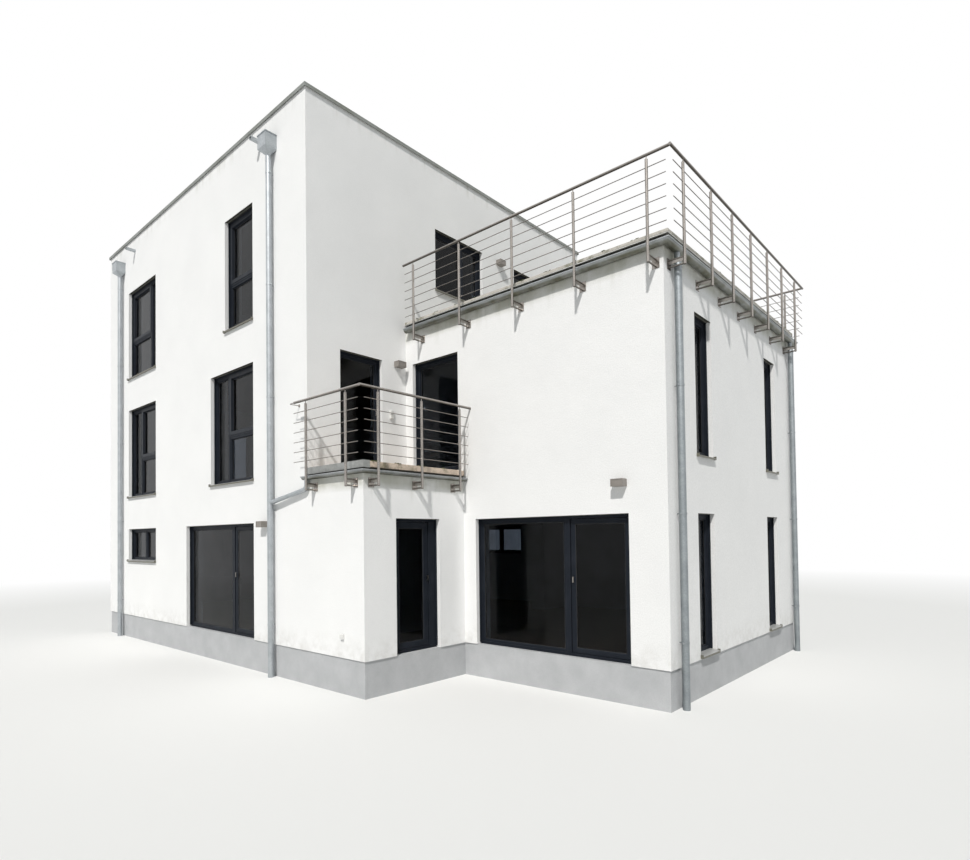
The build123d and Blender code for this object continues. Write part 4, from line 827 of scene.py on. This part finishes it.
def make_door(name, axis, side, hung):
    """Frame, fixed light, leaf, seals and hinges of a door.

    hung is +1 where the hinges are at the leaf's far end, with a fixed light before its near end, and -1
    where they are at its near end. A wider stile moves the inner half of its section.
    """
    low, high = (np.array(corner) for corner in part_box(name + "_frame"))
    outer = rectangles(low[None], high[None], axis)
    face = low[axis] if side > 0 else high[axis]
    pane = rectangles(*(np.array(corner)[None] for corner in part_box(name + "_leaf_glass")), axis)
    leaf = grown(pane, STILES[name])
    left, bottom, right, top = leaf[0]
    frame_shells = [surround(outer, grown(outer, -FRAME), at_depth(FRAME_SECTION, face, side), axis)]
    seals = []
    if hung > 0:
        light = rectangles(*(np.array(corner)[None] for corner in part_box(name + "_glass")), axis)
        sash = grown(light, SASH)
        frame_shells.append(surround(sash, sash, at_depth(SASH_SECTION, face, side), axis))
        seals = [surround(light, light, at_depth(s, face, side), axis) for s in GASKET_SECTIONS]
        post, hinge = (sash[0, 2], left - LEAF_FREE), right + LEAF_GAP / 2
    else:
        post, hinge = (right + LEAF_FREE, outer[0, 2] - FRAME), left - LEAF_GAP / 2
    upright = (bottom - LEAF_GAP, top + LEAF_GAP)
    frame_shells.append(bars(*door_box(axis, post, upright, (face, face + side * FRAME_DEPTH))))
    step = STILES[name] - STILE
    section = [(which, offset + step * (offset > STILE / 2), depth) for which, offset, depth in LEAF_SECTION]
    leaf_shells = [surround(leaf, leaf, at_depth(section, face, side), axis)]
    behind = face + side * AXIS_BEHIND
    place = (behind, hinge) if axis == 0 else (hinge, behind)
    pin = [(PIN, -KNUCKLE + 0.002), (PIN, PIN_UP - 0.001), (PIN - 0.001, PIN_UP)]
    for rise in HINGES_UP:
        foot = GROUND + rise
        for shells, start, reach, seat, bore in (
            (frame_shells, foot - KNUCKLE, hung * FLAG, FLAG_SEATS[0], PIN / 2),
            (leaf_shells, foot + KNUCKLE_GAP, -hung * FLAG, FLAG_SEATS[1], PIN + PIN_PLAY),
        ):
            shells.append(hinge_barrel(place, start, bore))
            plate = (behind - side * seat, behind - side * BARREL / 2)
            reach = (hinge + np.sign(reach) * BARREL / 2, hinge + reach)
            shells.append(bars(*door_box(axis, reach, (start, start + KNUCKLE), plate), edge=0.001))
        frame_shells.append(turned(pin, [(*place, foot)], (0, 0, 1), 12))
    casing = shells_to_mesh(name + "_casing", frame_shells, anthracite)
    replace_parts(casing, name + "_frame")
    body = name + "_leaf"
    swung = shells_to_mesh(name + "_sash", leaf_shells, anthracite, body)
    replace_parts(swung, body)
    leaf_seals = [surround(pane, pane, at_depth(s, face, side), axis) for s in GASKET_SECTIONS]
    shells_to_mesh(name + "_sash_seals", leaf_seals, seal, body)
    shutter_parts(outer, face, side, axis)
    return seals


def make_doors():
    """The three hinged doors."""
    seals = []
    for name, axis, side, hung in (
        ("tower_patio", 1, 1, 1), ("wing_patio", 1, 1, 1), ("annex_door", 0, -1, -1),
    ):
        seals += make_door(name, axis, side, hung)
    shells_to_mesh("door_seals", seals, seal)


def make_pavers(node, seed, material, thick):
    """Slabs in rows over a deck: slab (i, j) starts at high − pitch·(i + 1, j + 1) + joint.

    Those at the deck's low edges are cut off there.
    """
    low, high = (np.array(corner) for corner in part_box(node))
    pitch = SLAB_SIDE + SLAB_JOINT
    counts = np.ceil((high - low)[:2] / pitch).astype(int)
    grid = np.stack(np.meshgrid(*(np.arange(n) for n in counts), indexing="ij"), axis=-1).reshape(-1, 2)
    start = high[:2] - pitch * (grid + 1) + SLAB_JOINT
    lows = np.maximum(start, low[:2])
    highs = start + SLAB_SIDE
    wide = (highs - lows > SLAB_LEAST).all(axis=1)
    lows, highs = lows[wide], highs[wide]
    uneven = np.random.default_rng(seed).uniform(-SLAB_SETTLES, 0.0, len(lows))
    lows = np.column_stack([lows, np.full(len(lows), high[2] - thick)])
    highs = np.column_stack([highs, high[2] + uneven])
    piece = shells_to_mesh(node + "_pavers", [bars(lows, highs, edge=0.004)], material)
    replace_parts(piece, node)
    return lows, highs


def make_moss(name, places, outward, seed):
    """Low tufts in the open joints: each is a dome of rings r·sqrt(1 − h²) with its own width and height."""
    chance = np.random.default_rng(seed)
    heights = np.array([0.0, 0.45, 0.8, 1.0])
    radii = np.sqrt(1 - heights ** 2) * np.array([1.0, 1.08, 1.0, 0.0]) + 0.02
    unit, blocks = turned(np.column_stack([radii, heights]), [(0, 0, 0)], (0, 0, 1), 9)
    count = len(places)
    size = chance.uniform(*TUFT_SIZES, (count, 3))
    wobble = 1 + TUFT_WOBBLE * chance.standard_normal((count, unit.shape[1], 1)).clip(-1, 1)
    points = unit * size[:, None] * wobble + np.asarray(places)[:, None] + np.asarray(outward) * TUFT_LIFT
    shells_to_mesh(name, [(points, blocks)], moss)


def joint_spots(lows, highs, edge_axis, seed, share):
    """Places along the joints that run out to one edge of a deck."""
    chance = np.random.default_rng(seed)
    run = 1 - edge_axis
    edge = lows[:, edge_axis].min() if edge_axis == 1 else highs[:, edge_axis].max()
    joints = np.unique(highs[:, run].round(4))[:-1] + SLAB_JOINT / 2
    joints = joints[chance.random(len(joints)) < share]
    reach = np.repeat(chance.uniform(*TUFTS_ALONG, len(joints)), TUFTS)
    along = np.repeat(joints, TUFTS) + reach * chance.standard_normal(len(joints) * TUFTS).clip(-2, 2)
    inward = chance.uniform(*TUFTS_INWARD, len(along)) * (1 if edge_axis == 1 else -1)
    spots = np.zeros((len(along), 3))
    spots[:, run] = along
    spots[:, edge_axis] = edge + inward
    spots[:, 2] = highs[:, 2].max() - TUFT_SINK
    return spots


def make_drip_sheet(low, high):
    """Mortar bed under the terrace's thin slabs, near-black as painted shade in the gap, and the folded sheet
    that sheds water at the three edges.
    """
    hang, tuck, thick = DRIP_SHEET
    top = high[2] - TERRACE_PAVER
    down = top - hang
    bed = bars(low + [0, BED_SET, 0], [high[0] - BED_SET, high[1] - BED_SET, top], edge=0.002)
    shells_to_mesh("terrace_bed", [bed], painted_shade_bed)
    lows = [low[:2], low[:2], [low[0], high[1] - thick], [high[0] - thick, low[1]],
            [low[0], high[1] - tuck], [high[0] - tuck, low[1]]]
    highs = [[high[0], low[1] + thick], [high[0], low[1] + tuck], high[:2], high[:2], high[:2], high[:2]]
    foot = [down, top - thick, down, down, top - thick, top - thick]
    head = np.full(len(foot), top - 0.0005)
    sheet = bars(np.column_stack([lows, foot]), np.column_stack([highs, head]), edge=0.0008)
    shells_to_mesh("terrace_drip_sheet", [sheet], drip_metal)


def make_webs():
    """Steel webs under the upper arm of each railing bracket, from the wall plate to the post."""
    spots = []
    for at in np.linspace(*TERRACE_POSTS):
        spots += [(at, WING_SOUTH, 0, -1, *TERRACE_WEB), (at, WING_NORTH, 0, 1, *TERRACE_WEB)]
    spots += [(WING_EAST, WING_SOUTH + at, 1, 0, *TERRACE_WEB) for at in TERRACE_SIDE_POSTS]
    spots += [(at, 0.0, 0, -1, *BALCONY_WEB) for at in BALCONY_POSTS]
    spots += [(ANNEX_EAST, at, 1, 0, *BALCONY_WEB) for at in np.linspace(*BALCONY_SIDE_POSTS)]
    x, y, east, out, reach, height = np.array(spots).T
    x, y = x + CORNER[0], y + CORNER[1]
    half_x, half_y = (1 - east) * WEB_HALF, east * WEB_HALF
    one = np.column_stack([x + east * WEB_START - half_x, y + out * WEB_START - half_y, height + WEB_FOOT])
    two = np.column_stack([x + east * reach + half_x, y + out * reach + half_y, height + WEB_HEAD])
    webs = bars(np.minimum(one, two), np.maximum(one, two), edge=0.001)
    shells_to_mesh("bracket_webs", [webs], web_steel)


def make_decks():
    """Paved terrace and balcony, with moss in the joints at their open edges."""
    low, high = (np.array(corner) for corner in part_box("terrace_deck"))
    lows, highs = make_pavers("terrace_deck", 4, terrace_paving, TERRACE_PAVER)
    make_drip_sheet(low, high)
    spots = [joint_spots(lows, highs, 1, 6, 0.7), joint_spots(lows, highs, 0, 7, 0.5)]
    low, high = (corner.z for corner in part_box("balcony_deck"))
    lows, highs = make_pavers("balcony_deck", 5, balcony_paving, high - low)
    spots.append(joint_spots(lows, highs, 0, 8, 1.0))
    make_moss("joint_moss", np.concatenate(spots), (0, 0, 1), 9)


def make_sockets():
    """Splash-proof sockets, a pair and a single one: a rounded box with a lid that stands a little proud."""
    shells = []
    for axis, at, face, height in SOCKETS:
        out = 1 if axis == 0 else -1
        for half, low, high, edge in SOCKET_STEPS:
            depth = (face + out * low, face + out * high)
            across_it, upright = (at - half, at + half), (height - half, height + half)
            shells.append(bars(*door_box(axis, across_it, upright, depth), edge=edge))
    shells_to_mesh("wall_sockets", shells, socket_white)


def clamp_ears(name, pipes, heights, axis, line, out):
    """Two screwed ears on each pipe clamp; the line is where the pipes' middles stand."""
    at, foot = np.array([
        (pipe + way * EAR_OUT, height) for pipe in pipes for height in heights for way in (-1, 1)
    ]).T
    half, thick, high = EAR[0] / 2, EAR[1] / 2, EAR[2]
    lows = np.column_stack([at - half, np.full(len(at), line - thick), foot])
    highs = np.column_stack([at + half, np.full(len(at), line + thick), foot + high])
    heads = np.column_stack([at, np.full(len(at), line + out * thick), foot + high / 2])
    screws = turned(SCREW, on_wall(axis, heads), on_wall(axis, np.array([0.0, out, 0.0])), 10)
    ears = bars(on_wall(axis, lows), on_wall(axis, highs), edge=0.001)
    shells_to_mesh(name, [ears, screws], zinc)


def make_clamp_ears():
    """Ears on the clamps of the tower's and the wing's downpipes."""
    clamp_ears("tower_clamp_ears", TOWER_PIPES, CLAMPS_TOWER, 1, WALL_FACE["south"] - PIPE_OUT, -1)
    clamp_ears("wing_clamp_ears", WING_PIPES, CLAMPS_WING, 0, WALL_FACE["wing_east"] + PIPE_OUT, 1)


def make_balcony_grip():
    """Small bow grip on the balcony door."""
    at, height = GRIP_AT
    wide = (at - GRIP_HALF[0], at + GRIP_HALF[0])
    tall = (height - GRIP_HALF[1], height + GRIP_HALF[1])
    under, over, outer = (GRIP_FACE + depth for depth in GRIP_DEPTHS)
    shells = [bars(*door_box(0, wide, tall, (under, outer)))]
    for foot in (tall[0], tall[1] - GRIP_FOOT):
        shells.append(bars(*door_box(0, wide, (foot, foot + GRIP_FOOT), (GRIP_FACE, over))))
    shells_to_mesh("balcony_door_grip", shells, stainless)


def make_floor():
    """Pale floor that fades into the white surround."""
    bpy.ops.mesh.primitive_circle_add(vertices=96, radius=FLOOR_RADIUS, fill_type="NGON", location=(0, 0, 0))
    floor = bpy.context.object
    floor.name = "studio_floor"
    material = bpy.data.materials.new("studio_floor")
    material.use_nodes = True
    tree = material.node_tree
    tree.nodes.clear()
    output = tree.nodes.new("ShaderNodeOutputMaterial")
    matt = tree.nodes.new("ShaderNodeBsdfDiffuse")
    matt.inputs["Color"].default_value = FLOOR_COLOUR
    white = tree.nodes.new("ShaderNodeEmission")
    length = tree.nodes.new("ShaderNodeVectorMath")
    length.operation = "LENGTH"
    tree.links.new(coordinates(tree), length.inputs[0])
    mix = tree.nodes.new("ShaderNodeMixShader")
    tree.links.new(spread(tree, length.outputs["Value"], *FLOOR_CLEAR), mix.inputs[0])
    tree.links.new(matt.outputs[0], mix.inputs[1])
    tree.links.new(white.outputs[0], mix.inputs[2])
    tree.links.new(mix.outputs[0], output.inputs["Surface"])
    floor.data.materials.append(material)


def make_sun():
    """One soft sun, high behind the camera."""
    lamp = bpy.data.lights.new("studio_sun", "SUN")
    lamp.energy = SUN_STRENGTH
    lamp.color = SUN_COLOUR
    lamp.angle = SUN_SOFTNESS
    sun = bpy.data.objects.new("studio_sun", lamp)
    back = np.array(SUN_FROM) / np.linalg.norm(SUN_FROM)
    side, up = across(back)
    sun.matrix_world = matrix_of(side, up, back, (0, 0, 20))
    bpy.context.scene.collection.objects.link(sun)


def make_sky():
    """Even sky, plain white where the camera, a reflection or a pane shows it."""
    world = bpy.data.worlds.new("studio_sky")
    bpy.context.scene.world = world
    world.use_nodes = True
    tree = world.node_tree
    tree.nodes.clear()
    output = tree.nodes.new("ShaderNodeOutputWorld")
    sky = tree.nodes.new("ShaderNodeBackground")
    sky.inputs["Strength"].default_value = SKY_STRENGTH
    seen = tree.nodes.new("ShaderNodeBackground")
    seen.inputs["Strength"].default_value = 1.0
    sky.inputs["Color"].default_value = (*SKY_COLOUR, 1)
    seen.inputs["Color"].default_value = WHITE
    path = tree.nodes.new("ShaderNodeLightPath")
    total = path.outputs["Is Camera Ray"]
    for name in ("Is Glossy Ray", "Is Transmission Ray"):
        node = tree.nodes.new("ShaderNodeMath")
        node.operation = "MAXIMUM"
        tree.links.new(total, node.inputs[0])
        tree.links.new(path.outputs[name], node.inputs[1])
        total = node.outputs[0]
    mix = tree.nodes.new("ShaderNodeMixShader")
    tree.links.new(total, mix.inputs[0])
    tree.links.new(sky.outputs[0], mix.inputs[1])
    tree.links.new(seen.outputs[0], mix.inputs[2])
    tree.links.new(mix.outputs[0], output.inputs["Surface"])


def matrix_of(right, up, back, place):
    """Object matrix from its three axes and its place."""
    rows = [[right[i], up[i], back[i], place[i]] for i in range(3)]
    return Matrix([*rows, [0, 0, 0, 1]])


def make_camera():
    """Camera at the photograph's standpoint, its lens and shift from the picture's own geometry."""
    yaw, pitch, roll = CAMERA_YAW, CAMERA_PITCH, CAMERA_ROLL
    ahead = np.array([-math.sin(yaw) * math.cos(pitch), math.cos(yaw) * math.cos(pitch), math.sin(pitch)])
    level = np.array([math.cos(yaw), math.sin(yaw), 0.0])
    upright = np.cross(level, ahead)
    right = level * math.cos(roll) + upright * math.sin(roll)
    up = -level * math.sin(roll) + upright * math.cos(roll)
    lens = bpy.data.cameras.new("camera")
    lens.sensor_width = SENSOR
    lens.lens = FOCAL_PX / PICTURE[0] * SENSOR
    lens.shift_x = (PICTURE[0] / 2 - CENTRE_PX[0]) / PICTURE[0]
    lens.shift_y = (CENTRE_PX[1] - PICTURE[1] / 2) / PICTURE[0]
    lens.clip_end = FAR
    camera = bpy.data.objects.new("camera", lens)
    camera.matrix_world = matrix_of(right, up, -ahead, CAMERA_AT)
    bpy.context.scene.collection.objects.link(camera)
    bpy.context.scene.camera = camera


finish_nodes()
make_windows()
make_doors()
make_shutters()
make_decks()
make_webs()
make_sockets()
make_clamp_ears()
make_balcony_grip()
make_floor()
make_sun()
make_sky()
make_camera()
bpy.context.scene.view_settings.view_transform = "Standard"
